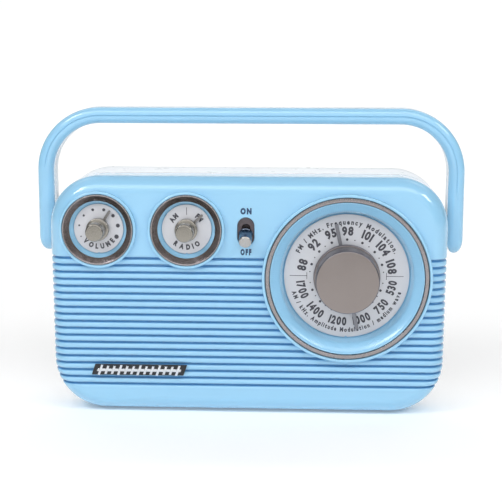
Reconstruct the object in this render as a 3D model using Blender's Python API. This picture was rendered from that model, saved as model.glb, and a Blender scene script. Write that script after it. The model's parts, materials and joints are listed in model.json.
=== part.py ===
"""Portable table radio with a swing carrying handle, as separate named solids.

Metres, +Z up. X runs left to right across the dial face, +Y runs from the dial face to the back.
The origin is the centre of the overall box, at the level of the feet's undersides.
Sizes below are in millimetres and pass through MM when points are made.
"""
import math

import bmesh
import bpy
from mathutils import Matrix, Vector

MM = 0.001
GAP = 0.3
BEYOND = 140.0

# ---- case ----
DEPTH = 74.0
KNOB_PROUD = 14.0
FRONT = -(DEPTH + KNOB_PROUD) / 2 + KNOB_PROUD
BACK = FRONT + DEPTH
PARTING = FRONT + 25.0
FOOT_HEIGHT = 1.2
CASE_BOTTOM = FOOT_HEIGHT
CASE_TOP = CASE_BOTTOM + 146.6
HALF_WIDTH_TOP = 122.1
HALF_WIDTH_BOTTOM = 121.0
CORNER_TOP = 31.0
CORNER_BOTTOM = 32.5
CORNER_STEPS = 7
WALL = 2.4
FRONT_EDGE_IN = 9.7
FRONT_EDGE_DEPTH = 11.4
BACK_EDGE = 14.0
EDGE_STEPS = 4
BIG_ROUND = 40
SMALL_ROUND = 24
PIN_ROUND = 12

# ---- ribbed front ----
GROOVES = 19
GROOVE_PITCH = 4.4
GROOVE_TOP_Z = 97.9
GROOVE_WIDTH = 1.9
GROOVE_DEPTH = 1.2
GROOVE_END = FRONT + 21.0

# ---- dials: centres and radii ----
TUNING_X, TUNING_Z = 60.6, 86.7
VOLUME_X, BAND_X, SMALL_Z = -91.2, -37.2, 115.8
BIG_HOLE = 50.0
BIG_LIP = 51.8
BIG_LIP_PROUD = 3.5
SMALL_HOLE = 21.8
SMALL_LIP = 23.5
SMALL_LIP_PROUD = 3.0
SHAFT_RADIUS = 3.0
TUNING_REST = math.radians(-11.6)
VOLUME_REST = math.radians(33.0)
BAND_REST = math.radians(47.0)

# ---- toggle switch ----
TOGGLE_X, TOGGLE_Z = -1.0, 115.2
TOGGLE_PIVOT = 3.5
TOGGLE_LENGTH = 13.5
TOGGLE_TILT = math.radians(23.0)
SLOT_HALF_WIDTH = 5.1
SLOT_HALF_LENGTH = 8.55

# ---- handle ----
HANDLE_OUT = 133.8
HANDLE_THICK = 10.0
HANDLE_DEPTH = 20.0
HANDLE_TOP = 187.8
HANDLE_CORNER = 40.0
HANDLE_Y = FRONT + 39.3
PIVOT_Z = 106.5
TIP_REACH = 10.0
PIN_RADIUS = 3.0

# ---- battery bay and its door, in the back ----
BAY_X0, BAY_X1, BAY_Z0, BAY_Z1 = -18.0, 90.0, 20.0, 76.0
BAY_Y0 = 12.0
TUB_WALL = 4.5
DOOR_THICK = 2.2
CELL_RADIUS = 13.0
CELL_LENGTH = 49.6

# ---- loudspeaker ----
SPEAKER_X, SPEAKER_Z = -68.0, 75.0
SPEAKER_RADIUS = 37.0
SPEAKER_SLOTS = 11
SPEAKER_SLOT_PITCH = 5.6
SPEAKER_SLOT_HALF = 1.3

# ---- sockets in the back ----
INLET_X, PHONES_X, SOCKET_Z = -86.0, -68.0, 27.0
INLET_HOLE, PHONES_HOLE = 5.6, 4.6

# ---- feet ----
FOOT_RADIUS = 5.0
FOOT_X = 86.0
FOOT_YS = (FRONT + 19.0, BACK - 20.0)

# ---- badge on the ribs ----
BADGE_X, BADGE_Z = -66.8, 28.2
BADGE_LEAN = 0.35

# ---- screws ----
BOARD_POSTS = ((-104.0, 72.0), (-20.0, 72.0), (8.0, 64.0), (-64.2, 112.0))
CASE_POSTS = ((-64.0, 128.0), (100.0, 128.0), (-101.0, 24.0), (101.0, 24.0))

# ---- telescopic aerial, in a shelf along the whole top back edge ----
SHELF_Y = BACK - 11.0
SHELF_Z = CASE_TOP - 12.0
AERIAL_X = 80.0
AERIAL_Y = BACK - 5.5
AERIAL_Z = CASE_TOP - 6.5
AERIAL_LENGTH = 158.0

BOARD_Y = FRONT + 13.5

SKY = (0.33, 0.61, 0.82)
WHITE = (0.80, 0.84, 0.86)
CHAMPAGNE = (0.36, 0.32, 0.28)
STEEL = (0.55, 0.55, 0.56)
PRINT = (0.57, 0.58, 0.62)
BLACK = (0.02, 0.02, 0.022)


# ---------------------------------------------------------------- basic tools

def finish(name, colour, roughness, metallic):
    """A material of the piece's own colour."""
    made = bpy.data.materials.new(name)
    made.use_nodes = True
    shader = made.node_tree.nodes["Principled BSDF"]
    shader.inputs["Base Color"].default_value = (*colour, 1.0)
    shader.inputs["Roughness"].default_value = roughness
    shader.inputs["Metallic"].default_value = metallic
    return made


def piece(name, bm, colour=WHITE, roughness=0.4, metallic=0.0, at=(0, 0, 0), turn=None):
    """Make an object of a closed bmesh given in millimetres round its own origin."""
    bmesh.ops.recalc_face_normals(bm, faces=bm.faces)
    bmesh.ops.scale(bm, vec=(MM, MM, MM), verts=bm.verts)
    mesh = bpy.data.meshes.new(name)
    bm.to_mesh(mesh)
    bm.free()
    mesh.shade_smooth()
    mesh.set_sharp_from_angle(angle=math.radians(35))
    mesh.materials.append(finish(name, colour, roughness, metallic))
    made = bpy.data.objects.new(name, mesh)
    bpy.context.scene.collection.objects.link(made)
    made.location = Vector(at) * MM
    if turn is not None:
        made.rotation_euler = turn
    return made


def tool(name, bm, at=(0, 0, 0)):
    """A shape that only cuts or joins another and isn't a piece of its own."""
    made = piece(name, bm, at=at)
    made.hide_render = True
    made.display_type = 'WIRE'
    return made


def combine(target, other, operation='DIFFERENCE'):
    """Add an exact Boolean of one object with another."""
    step = target.modifiers.new(other.name, 'BOOLEAN')
    step.operation = operation
    step.solver = 'EXACT'
    step.object = other


def bridge(bm, low, high):
    """Quads between two closed rings of the same length."""
    count = len(low)
    for i in range(count):
        j = (i + 1) % count
        bm.faces.new((low[i], low[j], high[j], high[i]))


def loft(rings):
    """A closed solid through rings of points, capped at both ends."""
    bm = bmesh.new()
    loops = [[bm.verts.new(point) for point in ring] for ring in rings]
    for low, high in zip(loops, loops[1:]):
        bridge(bm, low, high)
    bm.faces.new(loops[0])
    bm.faces.new(loops[-1])
    return bm


def turned(profile, segments=SMALL_ROUND):
    """Turn (distance along Y, radius) points round the Y axis; radius 0 closes on the axis."""
    bm = bmesh.new()
    loops = []
    for along, radius in profile:
        if radius == 0:
            loops.append([bm.verts.new((0, along, 0))])
            continue
        loops.append([bm.verts.new((radius * math.sin(2 * math.pi * i / segments), along,
                                    radius * math.cos(2 * math.pi * i / segments)))
                      for i in range(segments)])
    pairs = list(zip(loops, loops[1:]))
    if len(loops[0]) > 1:
        pairs.append((loops[-1], loops[0]))
    for low, high in pairs:
        if len(low) == 1 and len(high) == 1:
            continue
        if len(low) == 1 or len(high) == 1:
            pole, ring = (low[0], high) if len(low) == 1 else (high[0], low)
            for i in range(segments):
                bm.faces.new((pole, ring[i], ring[(i + 1) % segments]))
        else:
            bridge(bm, low, high)
    return bm


def box(x0, x1, y0, y1, z0, z1):
    """A rectangular block between two corners."""
    return loft([[(x0, y, z0), (x1, y, z0), (x1, y, z1), (x0, y, z1)] for y in (y0, y1)])


def disc(radius, y0, y1, segments=SMALL_ROUND):
    """A plain disc or pin along Y."""
    return turned([(y0, 0), (y0, radius), (y1, radius), (y1, 0)], segments)


def stadium(half_width, half_length, y0, y1, steps=8):
    """An upright slot shape with round ends, extruded along Y."""
    flat = half_length - half_width
    points = []
    for end in (1, -1):
        for i in range(steps + 1):
            angle = math.pi * i / steps
            points.append((end * half_width * math.cos(angle),
                           end * (flat + half_width * math.sin(angle))))
    return loft([[(x, y, z) for x, z in points] for y in (y0, y1)])


def merge(first, second):
    """Put the faces of a second bmesh into the first."""
    spare = bpy.data.meshes.new("spare")
    second.to_mesh(spare)
    second.free()
    first.from_mesh(spare)
    bpy.data.meshes.remove(spare)
    return first


def to_x(bm):
    """Swing a shape made along Y round to lie along X."""
    bmesh.ops.rotate(bm, verts=bm.verts, cent=(0, 0, 0), matrix=Matrix.Rotation(-math.pi / 2, 3, 'Z'))
    return bm


def to_z(bm):
    """Swing a shape made along Y round to stand along Z."""
    bmesh.ops.rotate(bm, verts=bm.verts, cent=(0, 0, 0), matrix=Matrix.Rotation(math.pi / 2, 3, 'X'))
    return bm


# ---------------------------------------------------------------- case

def outline(inset):
    """The case seen from the front, drawn in by inset: sides that narrow downwards and round corners."""
    def half_width(z):
        share = (z - CASE_BOTTOM) / (CASE_TOP - CASE_BOTTOM)
        return HALF_WIDTH_BOTTOM + (HALF_WIDTH_TOP - HALF_WIDTH_BOTTOM) * share - inset

    points = []
    for side, top in ((1, True), (-1, True), (-1, False), (1, False)):
        radius = (CORNER_TOP if top else CORNER_BOTTOM) - inset
        centre = CASE_TOP - inset - radius if top else CASE_BOTTOM + inset + radius
        order = range(CORNER_STEPS + 1)
        if (side < 0) == top:
            order = reversed(order)
        for i in order:
            angle = math.pi / 2 * i / CORNER_STEPS
            z = centre + (1 if top else -1) * radius * math.sin(angle)
            points.append((side * (half_width(z) - radius * (1 - math.cos(angle))), z))
    return points


def ring_at(inset, y):
    """The case outline drawn in by inset, at one depth."""
    return [(x, y, z) for x, z in outline(inset)]


def front_rings(skin, end):
    """Rings from the dial face over its rounded edge to the parting line, skin under the surface."""
    rings = []
    for i in range(EDGE_STEPS + 1):
        angle = math.pi / 2 * i / EDGE_STEPS
        inset = skin + (FRONT_EDGE_IN - skin / 2) * (1 - math.sin(angle))
        rings.append(ring_at(inset, FRONT + skin + (FRONT_EDGE_DEPTH - skin) * (1 - math.cos(angle))))
    rings.append(ring_at(skin, end))
    return rings


def back_rings(skin, start):
    """Rings from the parting line over the rounded back edge to the back face."""
    rings = [ring_at(skin, start)]
    for i in range(EDGE_STEPS + 1):
        angle = math.pi / 2 * i / EDGE_STEPS
        inset = skin + (BACK_EDGE - skin / 2) * (1 - math.cos(angle))
        rings.append(ring_at(inset, BACK - skin - (BACK_EDGE - skin) * (1 - math.sin(angle))))
    return rings


def groove_tool():
    """Level slots that follow the dial face and its rounded edge at an even depth."""
    bm = bmesh.new()
    for i in range(GROOVES):
        z = GROOVE_TOP_Z - i * GROOVE_PITCH
        merge(bm, box(-BEYOND, BEYOND, FRONT - 3, GROOVE_END, z - GROOVE_WIDTH / 2, z + GROOVE_WIDTH / 2))
    made = tool("groove_slots", bm)
    combine(made, tool("groove_floor", loft(front_rings(GROOVE_DEPTH, GROOVE_END + 3))))
    return made


def lip(x, z, radius, proud, segments):
    """A round boss whose rim stands proud of the dial face; its middle is bored out later."""
    bm = turned([(FRONT + 1.6, 0), (FRONT + 1.6, radius), (FRONT - proud + 0.8, radius - 0.2),
                 (FRONT - proud, radius - 0.9), (FRONT - proud, 0)], segments)
    bmesh.ops.translate(bm, verts=bm.verts, vec=(x, 0, z))
    return bm


def posts(places, radius, end):
    """Screw posts standing on the inside of the dial face."""
    bm = bmesh.new()
    for x, z in places:
        post = disc(radius, FRONT + 1.5, end, 12)
        bmesh.ops.translate(post, verts=post.verts, vec=(x, 0, z))
        merge(bm, post)
    return bm


def front_shell():
    """Blue front moulding: ribbed face, three round lips, toggle slot and screw posts."""
    shell = piece("front_shell", loft(front_rings(0, PARTING - GAP / 2)), SKY, 0.16)
    combine(shell, tool("front_cavity", loft(front_rings(WALL, PARTING + 5))))
    combine(shell, groove_tool())
    lips = merge(lip(TUNING_X, TUNING_Z, BIG_LIP, BIG_LIP_PROUD, BIG_ROUND),
                 merge(lip(VOLUME_X, SMALL_Z, SMALL_LIP, SMALL_LIP_PROUD, SMALL_ROUND),
                       lip(BAND_X, SMALL_Z, SMALL_LIP, SMALL_LIP_PROUD, SMALL_ROUND)))
    combine(shell, tool("dial_lips", lips), 'UNION')
    pillars = merge(posts(BOARD_POSTS, 2.8, BOARD_Y - GAP), posts(CASE_POSTS, 3.4, PARTING - GAP / 2))
    combine(shell, tool("screw_posts", pillars), 'UNION')
    holes = bmesh.new()
    for x, z, radius, segments in ((TUNING_X, TUNING_Z, BIG_HOLE, BIG_ROUND),
                                   (VOLUME_X, SMALL_Z, SMALL_HOLE, SMALL_ROUND),
                                   (BAND_X, SMALL_Z, SMALL_HOLE, SMALL_ROUND)):
        bore = disc(radius, FRONT - 8, FRONT + 5, segments)
        bmesh.ops.translate(bore, verts=bore.verts, vec=(x, 0, z))
        merge(holes, bore)
    slot = stadium(SLOT_HALF_WIDTH, SLOT_HALF_LENGTH, FRONT - 8, FRONT + 5)
    bmesh.ops.translate(slot, verts=slot.verts, vec=(TOGGLE_X, 0, TOGGLE_Z))
    combine(shell, tool("dial_holes", merge(holes, slot)))


def rear_shell():
    """White back moulding: battery tub, aerial shelf, loudspeaker slots, sockets and hinge holes."""
    shell = piece("rear_shell", loft(back_rings(0, PARTING + GAP / 2)), WHITE, 0.25)
    hollow = tool("rear_cavity", loft(back_rings(WALL, PARTING - 5)))
    shelf = box(-BEYOND, BEYOND, SHELF_Y - WALL, BACK + 5, SHELF_Z - WALL, CASE_TOP + 5)
    tub = box(BAY_X0 - TUB_WALL, BAY_X1 + TUB_WALL, BAY_Y0 - 2, BACK + 5,
              BAY_Z0 - TUB_WALL, BAY_Z1 + TUB_WALL)
    combine(hollow, tool("shelf_and_tub_walls", merge(shelf, tub)))
    combine(shell, hollow)
    openings = box(-BEYOND, BEYOND, SHELF_Y, BACK + 5, SHELF_Z, CASE_TOP + 5)
    merge(openings, box(BAY_X0, BAY_X1, BAY_Y0, BACK + 5, BAY_Z0, BAY_Z1))
    combine(shell, tool("shelf_and_bay", openings))
    combine(shell, tool("door_rebate", box(BAY_X0 - 3, BAY_X1 + 3, BACK - DOOR_THICK - GAP, BACK + 6,
                                           BAY_Z0 - 3, BAY_Z1 + 3)))
    slots = bmesh.new()
    for i in range(SPEAKER_SLOTS):
        rise = SPEAKER_SLOT_PITCH * (i - (SPEAKER_SLOTS - 1) / 2)
        z = SPEAKER_Z + rise
        half = math.sqrt((SPEAKER_RADIUS - 4.0) ** 2 - rise ** 2)
        merge(slots, box(SPEAKER_X - half, SPEAKER_X + half, BACK - 6, BACK + 4,
                         z - SPEAKER_SLOT_HALF, z + SPEAKER_SLOT_HALF))
    for x, radius in ((INLET_X, INLET_HOLE), (PHONES_X, PHONES_HOLE)):
        socket = disc(radius, BACK - 6, BACK + 4, 16)
        bmesh.ops.translate(socket, verts=socket.verts, vec=(x, 0, SOCKET_Z))
        merge(slots, socket)
    combine(shell, tool("rear_slots", slots))
    hinge = to_x(disc(PIN_RADIUS + GAP, -135, 135, 16))
    bmesh.ops.translate(hinge, verts=hinge.verts, vec=(0, HANDLE_Y, PIVOT_Z))
    combine(shell, tool("hinge_bore", hinge))
    screws = bmesh.new()
    for x, z in CASE_POSTS:
        well = turned([(BACK + 4, 0), (BACK + 4, 3.6), (BACK - 1.6, 3.6),
                       (BACK - 1.6, 1.8), (BACK - 5, 1.8),
                       (BACK - 5, 0)], 12)
        bmesh.ops.translate(well, verts=well.verts, vec=(x, 0, z))
        merge(screws, well)
    combine(shell, tool("screw_wells", screws))


def case_screws():
    """Four screws that pull the back onto the front's long posts."""
    for number, (x, z) in enumerate(CASE_POSTS, 1):
        profile = [(BACK - 0.6, 0), (BACK - 0.6, 3.1), (BACK - 1.3, 3.1), (BACK - 1.3, 1.5),
                   (PARTING + 1.0, 1.5), (PARTING + 1.0, 0)]
        piece("case_screw_%d" % number, turned(profile, 12), STEEL, 0.3, 1.0, (x, 0, z))


def feet():
    """Four round rubber feet under the case."""
    places = [(x, y) for y in FOOT_YS for x in (-FOOT_X, FOOT_X)]
    for number, (x, y) in enumerate(places, 1):
        pad = to_z(disc(FOOT_RADIUS, 0, FOOT_HEIGHT - 0.05, PIN_ROUND))
        piece("foot_%d" % number, pad, BLACK, 0.8, 0.0, (x, y, 0))


# ---------------------------------------------------------------- tuning dial

def tuning_dial():
    """Metal bezel, dished surround, printed scale, and the knob, pointer and shaft that turn together."""
    centre = (TUNING_X, FRONT, TUNING_Z)
    bezel = [(-2.6, 47.9), (-2.6, 49.0), (-1.9, 49.7), (2.8, 49.7), (2.8, 47.3), (-1.9, 47.3)]
    piece("tuning_bezel", turned(bezel, BIG_ROUND), CHAMPAGNE, 0.3, 1.0, centre)
    dish = [(-1.8, 46.2), (-1.0, 45.6), (2.6, 40.9), (9.9, 38.9), (9.9, 4.6), (11.5, 4.6), (11.5, 40.4),
            (5.0, 42.4), (4.6, 44.8), (4.6, 52.4), (3.1, 52.4), (3.1, 46.9), (-1.8, 46.9)]
    piece("tuning_dish", turned(dish, BIG_ROUND), SKY, 0.15, 0.0, centre)
    scale = [(8.9, 4.6), (8.9, 38.4), (9.6, 38.4), (9.6, 4.6)]
    piece("tuning_scale", turned(scale, BIG_ROUND), PRINT, 0.35, 0.0, centre)
    knob = [(-12.4, 0), (-12.4, 18.6), (-11.8, 19.2), (3.2, 19.4), (3.6, 20.4), (4.8, 20.4), (4.8, 3.3),
            (-9.0, 3.3), (-9.0, 0)]
    piece("tuning_knob", turned(knob, SMALL_ROUND), CHAMPAGNE, 0.28, 1.0, centre)
    hub = turned([(5.1, 3.3), (5.1, 12.0), (6.1, 12.0), (6.1, 3.3)], PIN_ROUND)
    pointer = piece("tuning_pointer", hub, STEEL, 0.35, 1.0, centre, (0, TUNING_REST, 0))
    bars = merge(box(-1.15, 1.15, 5.1, 6.1, 11.0, 32.2), box(-1.15, 1.15, 5.1, 6.1, -32.2, -11.0))
    arms = tool("pointer_arms", bars, centre)
    arms.rotation_euler = (0, TUNING_REST, 0)
    combine(pointer, arms, 'UNION')
    shaft = disc(SHAFT_RADIUS, -8.7, 17.0, PIN_ROUND)
    piece("tuning_shaft", shaft, STEEL, 0.3, 1.0, centre)
    gang = box(-11, 11, 17.3, 30.0, -11, 11)
    piece("tuning_capacitor", gang, WHITE, 0.4, 0.0, centre)


# ---------------------------------------------------------------- small dials

def small_dial(label, x, rest):
    """Flared metal bezel, blue cup, printed plate, and a stepped knob with its pointer and shaft."""
    centre = (x, FRONT, SMALL_Z)
    bezel = [(-2.8, 21.0), (-2.8, 21.5), (0.4, 21.5), (0.4, 17.6), (-0.3, 17.6)]
    piece(label + "_bezel", turned(bezel), CHAMPAGNE, 0.3, 1.0, centre)
    dish = [(0.7, 17.5), (4.4, 15.5), (4.4, 3.6), (5.9, 3.6), (5.9, 20.9), (5.4, 21.4), (0.7, 21.4)]
    piece(label + "_dish", turned(dish), SKY, 0.15, 0.0, centre)
    scale = [(3.4, 3.6), (3.4, 15.2), (4.1, 15.2), (4.1, 3.6)]
    piece(label + "_scale", turned(scale), PRINT, 0.35, 0.0, centre)
    knob = [(-14.0, 0), (-14.0, 4.9), (-13.5, 5.4), (-2.8, 5.6), (-2.3, 6.9), (1.5, 6.9), (1.5, 3.3),
            (-10.0, 3.3), (-10.0, 0)]
    piece(label + "_knob", turned(knob, 16), CHAMPAGNE, 0.28, 1.0, centre)
    hub = turned([(1.8, 3.3), (1.8, 6.4), (2.6, 6.4), (2.6, 3.3)], PIN_ROUND)
    pointer = piece(label + "_pointer", hub, STEEL, 0.35, 1.0, centre, (0, rest, 0))
    arm = tool(label + "_pointer_arm", box(-0.8, 0.8, 1.8, 2.6, 6.0, 13.4), centre)
    arm.rotation_euler = (0, rest, 0)
    combine(pointer, arm, 'UNION')
    piece(label + "_shaft", disc(SHAFT_RADIUS, -9.7, 6.3, PIN_ROUND), STEEL, 0.3, 1.0, centre)


def controls_behind():
    """The volume potentiometer and the band switch, behind their dials."""
    piece("volume_potentiometer", disc(8.0, 6.6, 13.1, 16), STEEL, 0.4, 1.0, (VOLUME_X, FRONT, SMALL_Z))
    piece("band_switch", box(-8, 8, 6.6, 13.1, -8, 8), BLACK, 0.5, 0.0, (BAND_X, FRONT, SMALL_Z))


# ---------------------------------------------------------------- toggle switch

def toggle_switch():
    """Switch body with a recessed face behind the slot, and its chromed bat lever tipped down to off."""
    pivot = (TOGGLE_X, FRONT + TOGGLE_PIVOT, TOGGLE_Z)
    body = piece("power_switch_body", box(-8.5, 8.5, 2.8, 13.1, -13, 13), CHAMPAGNE, 0.5, 0.0,
                 (TOGGLE_X, FRONT, TOGGLE_Z))
    recess = stadium(SLOT_HALF_WIDTH + 0.6, SLOT_HALF_LENGTH + 0.6, 1.0, 3.9)
    combine(body, tool("toggle_recess", recess, (TOGGLE_X, FRONT, TOGGLE_Z)))
    combine(body, tool("toggle_throat", box(-2.6, 2.6, 3.5, 9, -3.6, 3.6), (TOGGLE_X, FRONT, TOGGLE_Z)))
    lever = [(2.2, 0), (2.2, 1.6), (-2.9, 2.0), (-3.1, 4.2), (-4.1, 4.2), (-4.5, 3.9),
             (-TOGGLE_LENGTH + 0.4, 3.9), (-TOGGLE_LENGTH, 3.5), (-TOGGLE_LENGTH, 0)]
    piece("power_switch_lever", turned(lever, 16), STEEL, 0.15, 1.0, pivot, (TOGGLE_TILT, 0, 0))


# ---------------------------------------------------------------- badge

def badge():
    """A plain slanted trim plate on the ribs, with a bright bar on it."""
    def slanted(half_length, half_height, y0, y1):
        lean = half_height * BADGE_LEAN
        points = [(-half_length - lean, -half_height), (half_length - lean, -half_height),
                  (half_length + lean, half_height), (-half_length + lean, half_height)]
        return loft([[(x, y, z) for x, z in points] for y in (y0, y1)])

    centre = (BADGE_X, FRONT, BADGE_Z)
    piece("badge_plate", slanted(28.5, 3.4, -1.5, -GAP), BLACK, 0.3, 0.0, centre)
    piece("badge_bar", slanted(26.0, 0.9, -2.6, -1.8), STEEL, 0.12, 1.0, centre)


# ---------------------------------------------------------------- handle

def handle_path():
    """Stations up one arm, over the top and down the other: point, sideways direction, end scale."""
    middle = HANDLE_OUT - HANDLE_THICK / 2
    radius = HANDLE_CORNER - HANDLE_THICK / 2
    top = HANDLE_TOP - HANDLE_THICK / 2
    stations = []
    for angle in (80, 62, 40, 18, 0):
        drop = math.sin(math.radians(angle))
        stations.append((middle, PIVOT_Z - TIP_REACH * drop, 0.0, math.cos(math.radians(angle))))
    for i in range(9):
        angle = math.pi / 2 * i / 8
        stations.append((middle - radius + radius * math.cos(angle),
                         top - radius + radius * math.sin(angle),
                         angle, 1.0))
    mirrored = [(-x, z, math.pi - angle, scale) for x, z, angle, scale in reversed(stations)]
    return stations + mirrored


def handle_half(name, front, colour):
    """One half of the U-shaped handle, split along its depth."""
    half = HANDLE_THICK / 2
    deep = HANDLE_DEPTH / 2
    corner = 4.0 if front else 2.5
    side = -1 if front else 1
    section = [(half, GAP / 2)]
    for i in range(4):
        angle = math.pi / 2 * i / 3
        section.append((half - corner * (1 - math.cos(angle)), deep - corner * (1 - math.sin(angle))))
    section += [(-across, along) for across, along in reversed(section)]
    rings = []
    for x, z, angle, scale in handle_path():
        rings.append([(x + across * scale * math.cos(angle), HANDLE_Y + side * max(along * scale, GAP / 2),
                       z + across * scale * math.sin(angle)) for across, along in section])
    made = piece(name, loft(rings), colour, 0.2)
    inner = PIN_RADIUS + GAP
    bore = turned([(-140, 0), (-140, 5.9), (-132, 5.9), (-132, inner),
                   (132, inner), (132, 5.9), (140, 5.9),
                   (140, 0)], 16)
    combine(made, tool(name + "_bore", to_x(bore), (0, HANDLE_Y, PIVOT_Z)))


def handle_fittings():
    """The rivet pins that the arms turn on, and the caps in the arms' outer faces."""
    for label, side in (("left", -1), ("right", 1)):
        at = (0, HANDLE_Y, PIVOT_Z)
        pin = [(131.4, 0), (131.4, PIN_RADIUS), (117.6, PIN_RADIUS), (117.6, 5.5), (115.6, 5.5),
               (115.6, 0)]
        cap = [(132.3, 0), (132.3, 5.6), (133.3, 5.6), (133.6, 5.2), (133.6, 0)]
        for kind, profile, colour, metal in (("pin", pin, STEEL, 1.0), ("cap", cap, SKY, 0.0)):
            bm = to_x(turned([(side * along, radius) for along, radius in profile], PIN_ROUND))
            piece("handle_%s_%s" % (kind, label), bm, colour, 0.3, metal, at)


# ---------------------------------------------------------------- batteries

def batteries():
    """Door on the back, four round cells in two rows, and the spring plates at the ends."""
    door = box(BAY_X0 - 2.7, BAY_X1 + 2.7, BACK - DOOR_THICK, BACK, BAY_Z0 - 2.7, BAY_Z1 + 2.7)
    hinge_z = BAY_Z0 - 2.7
    bmesh.ops.translate(door, verts=door.verts, vec=(0, -BACK, -hinge_z))
    made = piece("battery_door", door, WHITE, 0.25, 0.0, (0, BACK, hinge_z))
    grip = tool("door_grip", box(28, 44, -1.0, 1.0, 53, 56.5), (0, BACK, hinge_z))
    combine(made, grip)
    middle = (BAY_X0 + BAY_X1) / 2
    for row, z in enumerate((BAY_Z0 + 14.0, BAY_Z1 - 14.0)):
        for column, side in enumerate((-1, 1)):
            nose = side if row == 0 else -side
            end = CELL_LENGTH / 2
            profile = [(-end, 0), (-end, CELL_RADIUS), (end - 2, CELL_RADIUS), (end - 2, 3.2),
                       (end, 3.2), (end, 0)]
            bm = to_x(turned([(nose * along, radius) for along, radius in profile], 16))
            piece("battery_cell_%d" % (2 * row + column + 1), bm, BLACK, 0.35, 0.2,
                  (middle + side * (end + 0.4), 28.0, z))
    for label, x in (("left", BAY_X0 + 0.8), ("right", BAY_X1 - 0.8)):
        plate = box(-0.4, 0.4, BAY_Y0 + 2, BACK - 6, BAY_Z0 + 2, BAY_Z1 - 2)
        piece("battery_contact_" + label, plate, STEEL, 0.3, 1.0, (x, 0, 0))


# ---------------------------------------------------------------- loudspeaker and board

def loudspeaker():
    """Round frame, paper cone and magnet, firing through the slots in the back."""
    at = (SPEAKER_X, BACK - WALL, SPEAKER_Z)
    frame = [(-0.4, SPEAKER_RADIUS), (-0.4, SPEAKER_RADIUS - 5), (-2.4, SPEAKER_RADIUS - 5), (-16, 18.0),
             (-17.4, 18.0), (-3.4, SPEAKER_RADIUS - 4), (-2.2, SPEAKER_RADIUS)]
    piece("speaker_frame", turned(frame, 20), STEEL, 0.4, 1.0, at)
    cone = [(-2.6, SPEAKER_RADIUS - 6.0), (-12.0, 8.0), (-9.0, 0), (-16.0, 0), (-15.0, 9.0),
            (-3.2, SPEAKER_RADIUS - 6.0)]
    piece("speaker_cone", turned(cone, 20), BLACK, 0.8, 0.0, at)
    piece("speaker_magnet", disc(17.0, -28.0, -17.8, 16), STEEL, 0.4, 1.0, at)


def board():
    """Circuit board on its posts, with the parts that stand on it and the rod aerial above."""
    blank = box(-108, 86, 0, 1.5, 60, 122)
    plate = piece("main_board", blank, (0.05, 0.2, 0.09), 0.5, 0.0, (0, BOARD_Y, 0))
    holes = disc(4.0, -3, 5, 16)
    bmesh.ops.translate(holes, verts=holes.verts, vec=(TUNING_X, 0, TUNING_Z))
    for x, z in BOARD_POSTS:
        hole = disc(1.3, -3, 5, 12)
        bmesh.ops.translate(hole, verts=hole.verts, vec=(x, 0, z))
        merge(holes, hole)
    combine(plate, tool("board_holes", holes, (0, BOARD_Y, 0)))
    back_face = BOARD_Y + 1.8
    piece("radio_chip", box(-9, 9, 0, 3.5, -4, 4), BLACK, 0.5, 0.0, (-50, back_face, 94))
    piece("ferrite_rod", to_x(disc(4.0, -55, 55, 12)), BLACK, 0.7, 0.0, (10, 6, 130))


def sockets():
    """Power inlet and earphone socket in the back."""
    inlet = [(0.0, 5.3), (0.0, 2.9), (-9.0, 2.9), (-9.0, 0), (-12.0, 0), (-12.0, 5.3)]
    piece("power_inlet", turned(inlet, 16), BLACK, 0.5, 0.0, (INLET_X, BACK, SOCKET_Z))
    phones = [(0.0, 4.3), (0.0, 1.8), (-10.0, 1.8), (-10.0, 0), (-13.0, 0), (-13.0, 4.3)]
    piece("earphone_socket", turned(phones, 16), BLACK, 0.5, 0.0, (PHONES_X, BACK, SOCKET_Z))


# ---------------------------------------------------------------- aerial

def aerial():
    """Swivelling foot with its cross pin, tilting mast tube and two drawn sections, closed."""
    place = (AERIAL_X, AERIAL_Y, SHELF_Z + GAP)
    made = piece("aerial_foot", to_z(disc(4.4, 0, 1.9, 16)), STEEL, 0.2, 1.0, place)
    ears = bmesh.new()
    for side in (-1, 1):
        merge(ears, box(-2.6, 2.6, side * 1.9 if side > 0 else -3.3, 3.3 if side > 0 else -1.9, 1.2, 7.6))
    combine(made, tool("aerial_ears", ears, (AERIAL_X, AERIAL_Y, SHELF_Z + GAP)), 'UNION')
    combine(made, tool("aerial_pin", disc(0.8, -3.0, 3.0, 12), (AERIAL_X, AERIAL_Y, AERIAL_Z)), 'UNION')
    tip = AERIAL_X - AERIAL_LENGTH
    at = (0, AERIAL_Y, AERIAL_Z)
    root = turned([(AERIAL_X - 6.0, 0), (AERIAL_X - 6.0, 3.0), (tip, 3.0), (tip, 2.55),
                   (AERIAL_X - 9.0, 2.55),
                   (AERIAL_X - 9.0, 0)], 12)
    mast = piece("aerial_tube_1", to_x(root), STEEL, 0.12, 1.0, at)
    tongue = box(AERIAL_X - 7.0, AERIAL_X + 2.0, -1.5, 1.5, -2.0, 2.0)
    combine(mast, tool("aerial_tongue", tongue, at), 'UNION')
    combine(mast, tool("aerial_tongue_bore", disc(1.1, -6, 6, 12), (AERIAL_X, AERIAL_Y, AERIAL_Z)))
    tube = [(AERIAL_X - 9.5, 2.2), (tip - 2.0, 2.2), (tip - 2.0, 1.7), (AERIAL_X - 9.5, 1.7)]
    piece("aerial_tube_2", to_x(turned(tube, 12)), STEEL, 0.12, 1.0, at)
    end = tip - 2.0
    rod = [(AERIAL_X - 9.5, 0), (AERIAL_X - 9.5, 1.3), (end - 0.3, 1.3),
           (end - 0.3, 2.6), (end - 1.5, 3.0),
           (end - 6.0, 3.0), (end - 7.0, 2.2), (end - 7.0, 0)]
    piece("aerial_tip", to_x(turned(rod, 12)), STEEL, 0.12, 1.0, at)


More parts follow.
